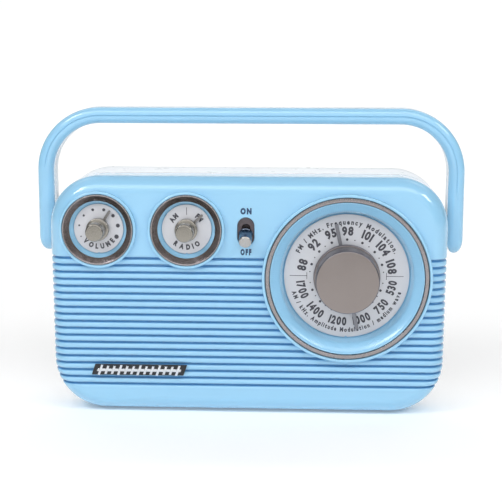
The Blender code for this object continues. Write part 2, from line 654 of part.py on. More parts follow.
def main():
    """Clear the scene and build every piece."""
    for old in list(bpy.data.objects):
        bpy.data.objects.remove(old)
    front_shell()
    rear_shell()
    case_screws()
    feet()
    tuning_dial()
    small_dial("volume", VOLUME_X, VOLUME_REST)
    small_dial("band", BAND_X, BAND_REST)
    controls_behind()
    toggle_switch()
    badge()
    handle_half("handle_front", True, SKY)
    handle_half("handle_rear", False, WHITE)
    handle_fittings()
    batteries()
    loudspeaker()
    board()
    sockets()
    aerial()


main()
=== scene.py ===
"""A portable table radio with a ribbed front, dished tuning dial and swing carrying handle.

The pieces stand in the frame's own metres. Shapes are drawn in millimetres and pass through MM.
X runs left to right across the dial face, +Y runs from the dial face to the back, +Z is up.
"""
import json
import logging
import math
from collections.abc import Sequence
from dataclasses import dataclass
from enum import Enum

import bmesh
import bpy
from mathutils import Matrix, Vector

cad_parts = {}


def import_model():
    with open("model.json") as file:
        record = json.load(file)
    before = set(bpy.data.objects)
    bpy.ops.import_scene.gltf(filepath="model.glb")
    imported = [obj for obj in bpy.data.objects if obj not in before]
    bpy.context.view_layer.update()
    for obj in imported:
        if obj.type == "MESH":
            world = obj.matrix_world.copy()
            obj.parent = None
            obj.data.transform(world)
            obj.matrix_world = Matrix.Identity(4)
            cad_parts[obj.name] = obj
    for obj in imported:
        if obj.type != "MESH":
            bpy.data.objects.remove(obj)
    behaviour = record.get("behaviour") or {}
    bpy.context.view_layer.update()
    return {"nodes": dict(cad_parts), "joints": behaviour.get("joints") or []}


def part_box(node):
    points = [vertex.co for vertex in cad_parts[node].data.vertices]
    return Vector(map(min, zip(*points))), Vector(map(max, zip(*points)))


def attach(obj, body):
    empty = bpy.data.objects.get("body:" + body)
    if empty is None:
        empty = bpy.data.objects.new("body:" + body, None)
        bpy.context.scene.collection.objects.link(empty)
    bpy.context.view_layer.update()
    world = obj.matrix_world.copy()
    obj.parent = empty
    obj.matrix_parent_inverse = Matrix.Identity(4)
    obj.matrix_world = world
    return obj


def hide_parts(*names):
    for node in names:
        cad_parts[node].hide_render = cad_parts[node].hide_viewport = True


LOG = logging.getLogger("table_radio")
MM = 0.001
FULL = 2 * math.pi

Point = tuple[float, float, float]
Profile = list[tuple[float, float]]


# ------------------------------------------------------------------ finishes

def linear(hex_colour: str) -> tuple[float, float, float, float]:
    """Turn an sRGB hex colour into linear light.

    Args:
        hex_colour: six hex digits, such as "9BCDEC".

    Returns:
        Linear red, green, blue and an alpha of one.
    """
    parts = []
    for start in (0, 2, 4):
        value = int(hex_colour[start:start + 2], 16) / 255
        parts.append(value / 12.92 if value <= 0.04045 else ((value + 0.055) / 1.055) ** 2.4)
    return (parts[0], parts[1], parts[2], 1.0)


def add_node(tree: bpy.types.NodeTree, kind: str, settings: dict | None = None,
             links: dict | None = None) -> bpy.types.Node:
    """Add one shader node.

    Args:
        tree: the material's node tree.
        kind: the node's type, such as "ShaderNodeTexNoise".
        settings: values by socket name or number, or by attribute name after a dot.
        links: source sockets by input name or number.

    Returns:
        The new node.
    """
    node = tree.nodes.new(kind)
    for key, value in (settings or {}).items():
        if isinstance(key, str) and key.startswith("."):
            setattr(node, key[1:], value)
    for key, value in (settings or {}).items():
        if not (isinstance(key, str) and key.startswith(".")):
            node.inputs[key].default_value = value
    for key, source in (links or {}).items():
        tree.links.new(source, node.inputs[key])
    return node


def per_mm(spacing: float) -> float:
    """Noise scale in metres for a grain of the given spacing in millimetres."""
    return 1.0 / (spacing * MM)


@dataclass(frozen=True)
class Finish:
    """A surface: what it is made of, its colour, and how it takes the light."""

    name: str
    colour: str
    roughness: float
    metallic: float = 0.0

    def start(self) -> tuple[bpy.types.Material, bpy.types.NodeTree, bpy.types.Node]:
        """Make the material with its shader and constant values.

        Returns:
            The material, its node tree and its Principled shader.
        """
        made = bpy.data.materials.new(self.name)
        made.use_nodes = True
        tree = made.node_tree
        shader = tree.nodes["Principled BSDF"]
        shader.inputs["Metallic"].default_value = self.metallic
        made.diffuse_color = linear(self.colour)
        return made, tree, shader

    def mottle(self, tree: bpy.types.NodeTree, where: bpy.types.NodeSocket, spacing: float,
               amount: float) -> bpy.types.NodeSocket:
        """Colour that drifts a little lighter and darker over the surface.

        Args:
            tree: the node tree.
            where: texture coordinates.
            spacing: size of the drift in millimetres.
            amount: share of lightness that it drifts by.

        Returns:
            The colour socket.
        """
        noise = add_node(tree, "ShaderNodeTexNoise", {"Scale": per_mm(spacing), "Detail": 3.0},
                         {"Vector": where})
        base = linear(self.colour)
        dark = tuple(v * (1 - amount) for v in base[:3]) + (1.0,)
        light = tuple(min(v * (1 + amount), 1.0) for v in base[:3]) + (1.0,)
        mix = add_node(tree, "ShaderNodeMix", {".data_type": "RGBA", 6: dark, 7: light},
                       {0: noise.outputs["Fac"]})
        return mix.outputs[2]

    def spread(self, tree: bpy.types.NodeTree, where: bpy.types.NodeSocket, spacing: float,
               amount: float) -> bpy.types.NodeSocket:
        """Roughness that varies round its middle value.

        Args:
            tree: the node tree.
            where: texture coordinates.
            spacing: size of the variation in millimetres.
            amount: how far it goes either way.

        Returns:
            The roughness socket.
        """
        noise = add_node(tree, "ShaderNodeTexNoise", {"Scale": per_mm(spacing), "Detail": 4.0},
                         {"Vector": where})
        ranged = add_node(tree, "ShaderNodeMapRange",
                          {"From Min": 0.3, "From Max": 0.7, "To Min": max(self.roughness - amount, 0.02),
                           "To Max": self.roughness + amount}, {"Value": noise.outputs["Fac"]})
        return ranged.outputs["Result"]

    def relief(self, tree: bpy.types.NodeTree, shader: bpy.types.Node, height: bpy.types.NodeSocket,
               depth: float, strength: float) -> None:
        """Bump the surface by a height pattern.

        Args:
            tree: the node tree.
            shader: the shader that takes the bump.
            height: the pattern.
            depth: height of the relief in millimetres.
            strength: share of the bump that is used.
        """
        bump = add_node(tree, "ShaderNodeBump", {"Strength": strength, "Distance": depth * MM},
                        {"Height": height})
        tree.links.new(bump.outputs["Normal"], shader.inputs["Normal"])


@dataclass(frozen=True)
class MouldedPlastic(Finish):
    """Injection-moulded ABS or nylon.

    A polished tool gives a clear gloss with a faint orange peel a few millimetres across;
    a spark-eroded tool gives a fine even grain instead.
    """

    coat: float = 0.0
    peel: float = 6.0
    peel_depth: float = 0.012
    drift: float = 0.015

    def make(self) -> bpy.types.Material:
        """Build the moulded plastic material.

        Returns:
            The material.
        """
        made, tree, shader = self.start()
        shader.inputs["IOR"].default_value = 1.54
        shader.inputs["Coat Weight"].default_value = self.coat
        shader.inputs["Coat Roughness"].default_value = 0.05
        where = add_node(tree, "ShaderNodeTexCoord").outputs["Object"]
        tree.links.new(self.mottle(tree, where, 45.0, self.drift), shader.inputs["Base Color"])
        tree.links.new(self.spread(tree, where, 9.0, 0.03), shader.inputs["Roughness"])
        peel = add_node(tree, "ShaderNodeTexNoise", {"Scale": per_mm(self.peel), "Detail": 2.0},
                        {"Vector": where})
        self.relief(tree, shader, peel.outputs["Fac"], self.peel_depth, 1.0)
        return made


@dataclass(frozen=True)
class FlutedPlastic(MouldedPlastic):
    """Polished ABS with fine radial flutes from the turned tool, seen only in a highlight."""

    centre: Point = (0.0, 0.0, 0.0)
    flutes: int = 240
    flute_depth: float = 0.05

    def make(self) -> bpy.types.Material:
        """Build the fluted plastic material.

        Returns:
            The material.
        """
        made = super().make()
        tree = made.node_tree
        shader = tree.nodes["Principled BSDF"]
        where = add_node(tree, "ShaderNodeTexCoord").outputs["Object"]
        moved_in = add_node(tree, "ShaderNodeVectorMath", {".operation": "SUBTRACT", 1: self.centre},
                            {0: where})
        parts = add_node(tree, "ShaderNodeSeparateXYZ", {}, {0: moved_in.outputs["Vector"]})
        clock = add_node(tree, "ShaderNodeMath", {".operation": "ARCTAN2"},
                         {0: parts.outputs["X"], 1: parts.outputs["Z"]})
        turns = add_node(tree, "ShaderNodeMath", {".operation": "MULTIPLY", 1: float(self.flutes)},
                         {0: clock.outputs[0]})
        wave = add_node(tree, "ShaderNodeMath", {".operation": "SINE"}, {0: turns.outputs[0]})
        self.relief(tree, shader, wave.outputs[0], self.flute_depth, 0.6)
        return made


@dataclass(frozen=True)
class ChannelledPlastic(MouldedPlastic):
    """Polished ABS ribs whose channels carry a deeper blue as painted shade, so that they read as dark
    lines.
    """

    # Colour of the painted shade in the middle of each groove.
    deep_colour: str = "4F93C9"
    first_z: float = 97.9
    pitch: float = 4.4
    half_open: float = 1.15

    def make(self) -> bpy.types.Material:
        """Build the ribbed plastic material, with painted shade in its channels.

        Returns:
            The material.
        """
        made = super().make()
        tree = made.node_tree
        shader = tree.nodes["Principled BSDF"]
        where = add_node(tree, "ShaderNodeTexCoord").outputs["Object"]
        parts = add_node(tree, "ShaderNodeSeparateXYZ", {}, {0: where})
        start = (self.first_z + self.pitch / 2) * MM
        drop = add_node(tree, "ShaderNodeMath", {".operation": "SUBTRACT", 0: start},
                        {1: parts.outputs["Z"]})
        steps = add_node(tree, "ShaderNodeMath", {".operation": "DIVIDE", 1: self.pitch * MM},
                         {0: drop.outputs[0]})
        share = add_node(tree, "ShaderNodeMath", {".operation": "FRACT"}, {0: steps.outputs[0]})
        off = add_node(tree, "ShaderNodeMath", {".operation": "SUBTRACT", 1: 0.5}, {0: share.outputs[0]})
        away = add_node(tree, "ShaderNodeMath", {".operation": "ABSOLUTE"}, {0: off.outputs[0]})
        # Painted shade: the deeper blue fills the middle of each groove, where shade falls, and fades out
        # towards the rib crests.
        deep = add_node(tree, "ShaderNodeMapRange",
                        {"From Min": 0.3 / self.pitch, "From Max": self.half_open / self.pitch,
                         "To Min": 1.0, "To Max": 0.0, ".interpolation_type": "SMOOTHSTEP"},
                        {"Value": away.outputs[0]})
        old = shader.inputs["Base Color"].links[0].from_socket
        mix = add_node(tree, "ShaderNodeMix", {".data_type": "RGBA", 7: linear(self.deep_colour)},
                       {0: deep.outputs["Result"], 6: old})
        tree.links.new(mix.outputs[2], shader.inputs["Base Color"])
        return made


class Grain(Enum):
    """Which way a metal was worked."""

    TURNED = "turned"
    DRAWN = "drawn"
    PLAIN = "plain"


@dataclass(frozen=True)
class WorkedMetal(Finish):
    """Aluminium, steel or brass, turned, drawn or plated.

    Turning leaves fine rings round the axis that stretch the highlight into a fan;
    drawing leaves lines along the tube; plating fills both in. Real tool lines are
    about 0.05 mm apart and are drawn several times coarser here, so that they show.
    """

    grain: Grain = Grain.PLAIN
    pitch: float = 0.35
    depth: float = 0.004
    centre: Point = (0.0, 0.0, 0.0)

    def pattern(self, tree: bpy.types.NodeTree) -> bpy.types.NodeSocket:
        """Height of the tool lines.

        Args:
            tree: the node tree.

        Returns:
            The height socket.
        """
        where = add_node(tree, "ShaderNodeTexCoord").outputs["Object"]
        if self.grain is Grain.TURNED:
            moved = add_node(tree, "ShaderNodeVectorMath", {".operation": "SUBTRACT", 1: self.centre},
                             {0: where})
            flat = add_node(tree, "ShaderNodeVectorMath", {".operation": "MULTIPLY", 1: (1.0, 0.0, 1.0)},
                            {0: moved.outputs["Vector"]})
            radius = add_node(tree, "ShaderNodeVectorMath", {".operation": "LENGTH"},
                              {0: flat.outputs["Vector"]})
            where = add_node(tree, "ShaderNodeCombineXYZ", {},
                             {"X": radius.outputs["Value"]}).outputs["Vector"]
        elif self.grain is Grain.DRAWN:
            where = add_node(tree, "ShaderNodeVectorMath", {".operation": "MULTIPLY", 1: (0.02, 1.0, 1.0)},
                             {0: where}).outputs["Vector"]
        noise = add_node(tree, "ShaderNodeTexNoise", {"Scale": per_mm(self.pitch), "Detail": 3.0},
                         {"Vector": where})
        return noise.outputs["Fac"]

    def make(self) -> bpy.types.Material:
        """Build the worked metal material.

        Returns:
            The material.
        """
        made, tree, shader = self.start()
        lines = self.pattern(tree)
        where = add_node(tree, "ShaderNodeTexCoord").outputs["Object"]
        tree.links.new(self.mottle(tree, where, 14.0, 0.05), shader.inputs["Base Color"])
        ranged = add_node(tree, "ShaderNodeMapRange",
                          {"From Min": 0.3, "From Max": 0.7, "To Min": max(self.roughness - 0.06, 0.03),
                           "To Max": self.roughness + 0.06}, {"Value": lines})
        tree.links.new(ranged.outputs["Result"], shader.inputs["Roughness"])
        self.relief(tree, shader, lines, self.depth, 1.0)
        return made


@dataclass(frozen=True)
class SprayedSilver(Finish):
    """Aluminium dial plate sprayed with silver lacquer, which sparkles softly and has no lines.

    The flakes are drawn at 0.4 mm, coarser than real ones, so that they show.
    """

    def make(self) -> bpy.types.Material:
        """Build the silver lacquer material.

        Returns:
            The material.
        """
        made, tree, shader = self.start()
        shader.inputs["Coat Weight"].default_value = 0.25
        shader.inputs["Coat Roughness"].default_value = 0.12
        where = add_node(tree, "ShaderNodeTexCoord").outputs["Object"]
        tree.links.new(self.mottle(tree, where, 0.35, 0.03), shader.inputs["Base Color"])
        tree.links.new(self.spread(tree, where, 0.5, 0.05), shader.inputs["Roughness"])
        flakes = add_node(tree, "ShaderNodeTexVoronoi", {"Scale": per_mm(0.4)}, {"Vector": where})
        self.relief(tree, shader, flakes.outputs["Distance"], 0.01, 0.25)
        return made


@dataclass(frozen=True)
class PrintedInk(Finish):
    """Screen-printed ink: a thin matt film with a slightly uneven edge-to-edge density."""

    def make(self) -> bpy.types.Material:
        """Build the ink material.

        Returns:
            The material.
        """
        made, tree, shader = self.start()
        where = add_node(tree, "ShaderNodeTexCoord").outputs["Object"]
        tree.links.new(self.mottle(tree, where, 0.6, 0.12), shader.inputs["Base Color"])
        tree.links.new(self.spread(tree, where, 0.8, 0.06), shader.inputs["Roughness"])
        return made


@dataclass(frozen=True)
class GrainedSolid(Finish):
    """Rubber, pressed paper, ferrite or board: a dull solid with a grain of one size."""

    spacing: float = 0.6
    depth: float = 0.05
    drift: float = 0.2

    def make(self) -> bpy.types.Material:
        """Build the grained material.

        Returns:
            The material.
        """
        made, tree, shader = self.start()
        shader.inputs["IOR"].default_value = 1.5
        where = add_node(tree, "ShaderNodeTexCoord").outputs["Object"]
        tree.links.new(self.mottle(tree, where, self.spacing * 3, self.drift), shader.inputs["Base Color"])
        tree.links.new(self.spread(tree, where, self.spacing * 2, 0.08), shader.inputs["Roughness"])
        noise = add_node(tree, "ShaderNodeTexNoise", {"Scale": per_mm(self.spacing), "Detail": 5.0},
                         {"Vector": where})
        self.relief(tree, shader, noise.outputs["Fac"], self.depth, 0.7)
        return made


# Blue ABS from a polished tool: a clear gloss whose reflections waver a little.
SKY_ABS = MouldedPlastic("ABS_sky_blue_polished_moulding", "96CBEB", 0.16, coat=0.5)
# White ABS from a satin tool: wide, blurred highlights.
WHITE_ABS = MouldedPlastic("ABS_white_satin_moulding", "EDF1F4", 0.3, coat=0.1, peel=6.0, peel_depth=0.003)
# Brown-grey ABS from a spark-eroded tool: nearly matt, so the slot reads as a shadow.
SWITCH_ABS = MouldedPlastic("ABS_brown_grey_moulding", "786C70", 0.4, peel=0.8)
# Black ABS: a dull sheen along its edges only.
BLACK_ABS = MouldedPlastic("ABS_black_moulding", "1B1C1F", 0.35, peel=1.0)
# Champagne anodised aluminium, turned: fine rings that fan the highlight over the knob faces.
KNOB_METAL = "aluminium_champagne_turned_anodised"
# The big knob's burnished side, painted darker than its face as painted shade: one soft dark band round it.
KNOB_SIDE_SHADED = WorkedMetal("aluminium_champagne_burnished", "7F7B80", 0.34, 1.0, pitch=3.0, depth=0.001)
# Spun champagne aluminium: a narrow bright line along the rolled edge.
RING_METAL = WorkedMetal("aluminium_champagne_spun_ring", "9D9899", 0.24, 1.0, pitch=2.0, depth=0.001)
# Spun gunmetal aluminium: a dark flare that brightens towards its rim, where the lighter champagne metal is
# laid on as a painted highlight.
DARK_RING = WorkedMetal("aluminium_gunmetal_spun_ring", "8F888B", 0.2, 1.0, pitch=2.0, depth=0.001)
# Chromium plate on steel: a mirror with hard dark and bright edges.
CHROME = WorkedMetal("steel_chromium_plated", "D9DBDF", 0.07, 1.0, pitch=2.0, depth=0.001)
# Black nickel on brass: a dark mirror with a blue cast.
LEVER_BARREL = WorkedMetal("brass_black_nickel_plated", "5B6372", 0.13, 1.0, pitch=1.5, depth=0.001)
# Satin nickel on brass: the pale, blurred end of the lever.
LEVER_CAP = WorkedMetal("brass_nickel_plated_satin", "B9B6B3", 0.3, 1.0, pitch=0.5)
# Pressed satin aluminium: an even mid grey bar.
POINTER_METAL = WorkedMetal("aluminium_satin_pressed", "84858B", 0.36, 1.0, pitch=0.4)
# Pressed bright aluminium: a slim bar that catches the light.
PALE_POINTER = WorkedMetal("aluminium_bright_pressed", "8D8B8A", 0.3, 1.0, pitch=0.4)
# Drawn and plated tube: long thin streaks along its length.
STEEL_DRAWN = WorkedMetal("steel_drawn_chromium_plated", "CDCFD2", 0.1, 1.0, Grain.DRAWN, 0.3, 0.001)
# Zinc plate on steel: a cold grey with a faint bloom.
STEEL_ZINC = WorkedMetal("steel_zinc_plated", "AEB0AE", 0.34, 1.0, pitch=0.7, depth=0.004)
# Silver lacquer on aluminium: a pale plate that sparkles softly.
DIAL_SILVER = SprayedSilver("aluminium_silver_lacquered", "CFD0D5", 0.42, 0.15)
# Dark grey screen print: matt figures on the shiny plate.
DIAL_INK = PrintedInk("ink_dark_grey_screen_print", "45454D", 0.55)
# Navy screen print: matt words on the blue gloss.
NAVY_INK = PrintedInk("ink_navy_screen_print", "233E63", 0.5)
# Black moulded rubber: no gloss at all.
RUBBER = GrainedSolid("rubber_black_moulded", "1E1E20", 0.75)
# Doped felted paper: soft fibres, matt black.
PAPER = GrainedSolid("paper_black_doped_felted", "17171A", 0.85, spacing=0.9, depth=0.12)
# Pressed and sintered ferrite: a dull charcoal with a fine grit.
FERRITE = GrainedSolid("ferrite_pressed_sintered", "2A2A2E", 0.6, spacing=0.4)
# Phenolic board under green mask: an uneven dark green gloss.
BOARD = GrainedSolid("phenolic_board_green_masked", "1E5A37", 0.35, spacing=1.2, drift=0.12)


# ------------------------------------------------------------------ shaping tools

def rounded(profile: Profile, radii: dict[int, float], steps: int = 4) -> Profile:
    """Round chosen corners of a closed profile.

    Args:
        profile: corner points.
        radii: rounding radius by corner number.
        steps: points along each rounding.

    Returns:
        The profile with arcs in place of those corners.
    """
    made: Profile = []
    count = len(profile)
    for number, corner in enumerate(profile):
        radius = radii.get(number, 0.0)
        if not radius:
            made.append(corner)
            continue
        here = Vector(corner)
        before = Vector(profile[number - 1]) - here
        after = Vector(profile[(number + 1) % count]) - here
        reach = min(radius, before.length * 0.49, after.length * 0.49)
        start = here + before.normalized() * reach
        end = here + after.normalized() * reach
        for step in range(steps + 1):
            share = step / steps
            point = start * (1 - share) ** 2 + here * 2 * share * (1 - share) + end * share ** 2
            made.append((point.x, point.y))
    return made


def bridge(bm: bmesh.types.BMesh, low: list, high: list) -> None:
    """Lay quads between two closed rings of vertices.

    Args:
        low: one ring.
        high: the other ring, with the same number of vertices.
    """
    for i in range(len(low)):
        j = (i + 1) % len(low)
        bm.faces.new((low[i], low[j], high[j], high[i]))


def loft(rings: Sequence[Sequence[Point]]) -> bmesh.types.BMesh:
    """Skin through rings of points and close both ends.

    Args:
        rings: rings with the same number of points.

    Returns:
        A closed bmesh in millimetres.
    """
    bm = bmesh.new()
    loops = [[bm.verts.new(point) for point in ring] for ring in rings]
    for low, high in zip(loops, loops[1:]):
        bridge(bm, low, high)
    bm.faces.new(loops[0])
    bm.faces.new(loops[-1])
    return bm


def turned(profile: Profile, segments: int = 96) -> bmesh.types.BMesh:
    """Turn a closed profile round the Y axis.

    Args:
        profile: (distance along Y, radius) points; radius 0 closes on the axis.
        segments: points round the circle.

    Returns:
        A closed bmesh in millimetres.
    """
    bm = bmesh.new()
    loops: list[list] = []
    for along, radius in profile:
        if radius < 1e-6:
            loops.append([bm.verts.new((0, along, 0))])
            continue
        loops.append([bm.verts.new((radius * math.sin(FULL * i / segments), along,
                                    radius * math.cos(FULL * i / segments))) for i in range(segments)])
    for low, high in zip(loops, loops[1:] + loops[:1]):
        if len(low) == 1 and len(high) == 1:
            continue
        if len(low) == 1 or len(high) == 1:
            pole, ring = (low[0], high) if len(low) == 1 else (high[0], low)
            for i in range(segments):
                bm.faces.new((pole, ring[i], ring[(i + 1) % segments]))
        else:
            bridge(bm, low, high)
    return bm


def prism(points: Profile, y0: float, y1: float, ease: float = 0.0) -> bmesh.types.BMesh:
    """Extrude a flat (x, z) outline along Y, with its edges eased.

    Args:
        points: outline, counted round its middle.
        y0: front end.
        y1: back end.
        ease: size of the rounding on both ends' edges.

    Returns:
        A closed bmesh in millimetres.
    """
    bm = loft([[(x, y, z) for x, z in points] for y in (y0, y1)])
    bmesh.ops.recalc_face_normals(bm, faces=bm.faces)
    if ease:
        ends = [edge for edge in bm.edges if abs(edge.verts[0].co.y - edge.verts[1].co.y) < 1e-5]
        bmesh.ops.bevel(bm, geom=ends, offset=ease, segments=3, profile=0.5, affect='EDGES')
    return bm


def block(x0: float, x1: float, y0: float, y1: float, z0: float, z1: float,
          ease: float = 0.0) -> bmesh.types.BMesh:
    """A block between two corners with every edge eased.

    Args:
        x0, x1: its left and right faces.
        y0, y1: its front and back faces.
        z0, z1: its underside and top.
        ease: size of the rounding on its edges.

    Returns:
        A closed bmesh in millimetres.
    """
    bm = loft([[(x0, y, z0), (x1, y, z0), (x1, y, z1), (x0, y, z1)] for y in (y0, y1)])
    bmesh.ops.recalc_face_normals(bm, faces=bm.faces)
    if ease:
        bmesh.ops.bevel(bm, geom=bm.edges[:], offset=ease, segments=3, profile=0.5, affect='EDGES')
    return bm


def stadium(half_width: float, half_length: float, steps: int = 20) -> Profile:
    """Upright slot outline with round ends.

    Args:
        half_width: half width, which is also the radius of both ends.
        half_length: half height.
        steps: points along each end.

    Returns:
        The closed (x, z) outline.
    """
    flat = half_length - half_width
    points: Profile = []
    for end in (1, -1):
        for i in range(steps + 1):
            angle = math.pi * i / steps
            points.append((end * half_width * math.cos(angle), end * (flat + half_width * math.sin(angle))))
    return points


def rectangle(x0: float, x1: float, z0: float, z1: float, radius: float) -> Profile:
    """Rectangle with round corners.

    Args:
        x0, x1: left and right.
        z0, z1: bottom and top.
        radius: radius of its corners.

    Returns:
        The closed (x, z) outline.
    """
    points: Profile = []
    for cx, cz, start in ((x1 - radius, z1 - radius, 0), (x0 + radius, z1 - radius, 1),
                          (x0 + radius, z0 + radius, 2), (x1 - radius, z0 + radius, 3)):
        for i in range(7):
            angle = math.pi / 2 * (start + i / 6)
            points.append((cx + radius * math.cos(angle), cz + radius * math.sin(angle)))
    return points


def merge(first: bmesh.types.BMesh, *others: bmesh.types.BMesh) -> bmesh.types.BMesh:
    """Put the faces of other bmeshes into the first.

    Args:
        first: the bmesh that grows.
        others: bmeshes that are taken in and freed.

    Returns:
        The first bmesh.
    """
    for other in others:
        spare = bpy.data.meshes.new("spare")
        other.to_mesh(spare)
        other.free()
        first.from_mesh(spare)
        bpy.data.meshes.remove(spare)
    return first


def moved(bm: bmesh.types.BMesh, by: Point, turn: float = 0.0, axis: str = 'Y') -> bmesh.types.BMesh:
    """Turn a bmesh about an axis through the origin, then shift it in millimetres.

    Args:
        bm: the bmesh.
        by: the shift in millimetres.
        turn: the angle in radians.
        axis: the axis to turn about.

    Returns:
        The same bmesh.
    """
    if turn:
        bmesh.ops.rotate(bm, verts=bm.verts, cent=(0, 0, 0), matrix=Matrix.Rotation(turn, 3, axis))
    bmesh.ops.translate(bm, verts=bm.verts, vec=by)
    return bm


def along_x(bm: bmesh.types.BMesh) -> bmesh.types.BMesh:
    """Swing a shape made along Y round to lie along X."""
    return moved(bm, (0, 0, 0), -math.pi / 2, 'Z')


def along_z(bm: bmesh.types.BMesh) -> bmesh.types.BMesh:
    """Swing a shape made along Y round to stand along Z."""
    return moved(bm, (0, 0, 0), math.pi / 2, 'X')


def solid(name: str, bm: bmesh.types.BMesh, sharp: float = 40.0) -> bpy.types.Object:
    """Turn a bmesh in millimetres into an object in metres with smooth shading.

    Args:
        name: the piece's name.
        bm: its mesh, which is freed.
        sharp: edges turned by more than this many degrees stay crisp.

    Returns:
        The object.
    """
    bmesh.ops.recalc_face_normals(bm, faces=bm.faces)
    bmesh.ops.scale(bm, vec=(MM, MM, MM), verts=bm.verts)
    mesh = bpy.data.meshes.new(name)
    bm.to_mesh(mesh)
    bm.free()
    mesh.shade_smooth()
    mesh.set_sharp_from_angle(angle=math.radians(sharp))
    made = bpy.data.objects.new(name, mesh)
    bpy.context.scene.collection.objects.link(made)
    return made


def carve(target: bpy.types.Object, steps: Sequence[tuple[str, bmesh.types.BMesh]],
          sharp: float = 40.0) -> bpy.types.Object:
    """Cut or join shapes one after the other and keep the result as plain mesh.

    Args:
        target: the object to work on.
        steps: pairs of Boolean operation and shape in millimetres.
        sharp: edges turned by more than this many degrees stay crisp.

    Returns:
        The worked object.
    """
    tools = []
    for number, (operation, bm) in enumerate(steps):
        other = solid("%s_tool_%d" % (target.name, number), bm)
        step = target.modifiers.new(other.name, 'BOOLEAN')
        step.operation = operation
        step.solver = 'EXACT'
        step.object = other
        tools.append(other)
    graph = bpy.context.evaluated_depsgraph_get()
    mesh = bpy.data.meshes.new_from_object(target.evaluated_get(graph))
    old = target.data
    target.modifiers.clear()
    target.data = mesh
    mesh.name = target.name
    bpy.data.meshes.remove(old)
    for other in tools:
        spent = other.data
        bpy.data.objects.remove(other)
        bpy.data.meshes.remove(spent)
    mesh.shade_smooth()
    mesh.set_sharp_from_angle(angle=math.radians(sharp))
    return target


def even_shading(made: bpy.types.Object) -> None:
    """Let large flat faces keep their own shading beside narrow rounded edges.

    Args:
        made: the piece, which keeps its sharp edges.
    """
    step = made.modifiers.new("even_shading", 'WEIGHTED_NORMAL')
    step.keep_sharp = True
    step.weight = 80


def glyph(character: str, height: float, squeeze: float, weight: float,
          cache: dict) -> tuple[list, list, float]:
    """One raised character, upright in the X-Z plane and centred on its own width.

    Args:
        character: the letter or figure.
        height: height of a capital in millimetres.
        squeeze: width as a share of the typeface's own.
        weight: how far strokes are thickened, as a share of the height.
        cache: characters already made.

    Returns:
        Points in millimetres, faces, and the character's width.
    """
    key = (character, height, squeeze, weight)
    if key not in cache:
        curve = bpy.data.curves.new("letter", 'FONT')
        curve.body = character
        curve.resolution_u = 3
        curve.offset = weight
        curve.extrude = 0.01
        spare = bpy.data.objects.new("letter", curve)
        bpy.context.scene.collection.objects.link(spare)
        mesh = bpy.data.meshes.new_from_object(spare.evaluated_get(bpy.context.evaluated_depsgraph_get()))
        xs = [v.co.x for v in mesh.vertices] or [0.0, 0.3]
        middle, scale = (min(xs) + max(xs)) / 2, height / 0.729
        points = [((v.co.x - middle) * scale * squeeze, -v.co.z * 3.0, v.co.y * scale)
                  for v in mesh.vertices]
        faces = [tuple(face.vertices) for face in mesh.polygons]
        cache[key] = (points, faces, (max(xs) - min(xs)) * scale * squeeze)
        bpy.data.objects.remove(spare)
        bpy.data.curves.remove(curve)
        bpy.data.meshes.remove(mesh)
    return cache[key]


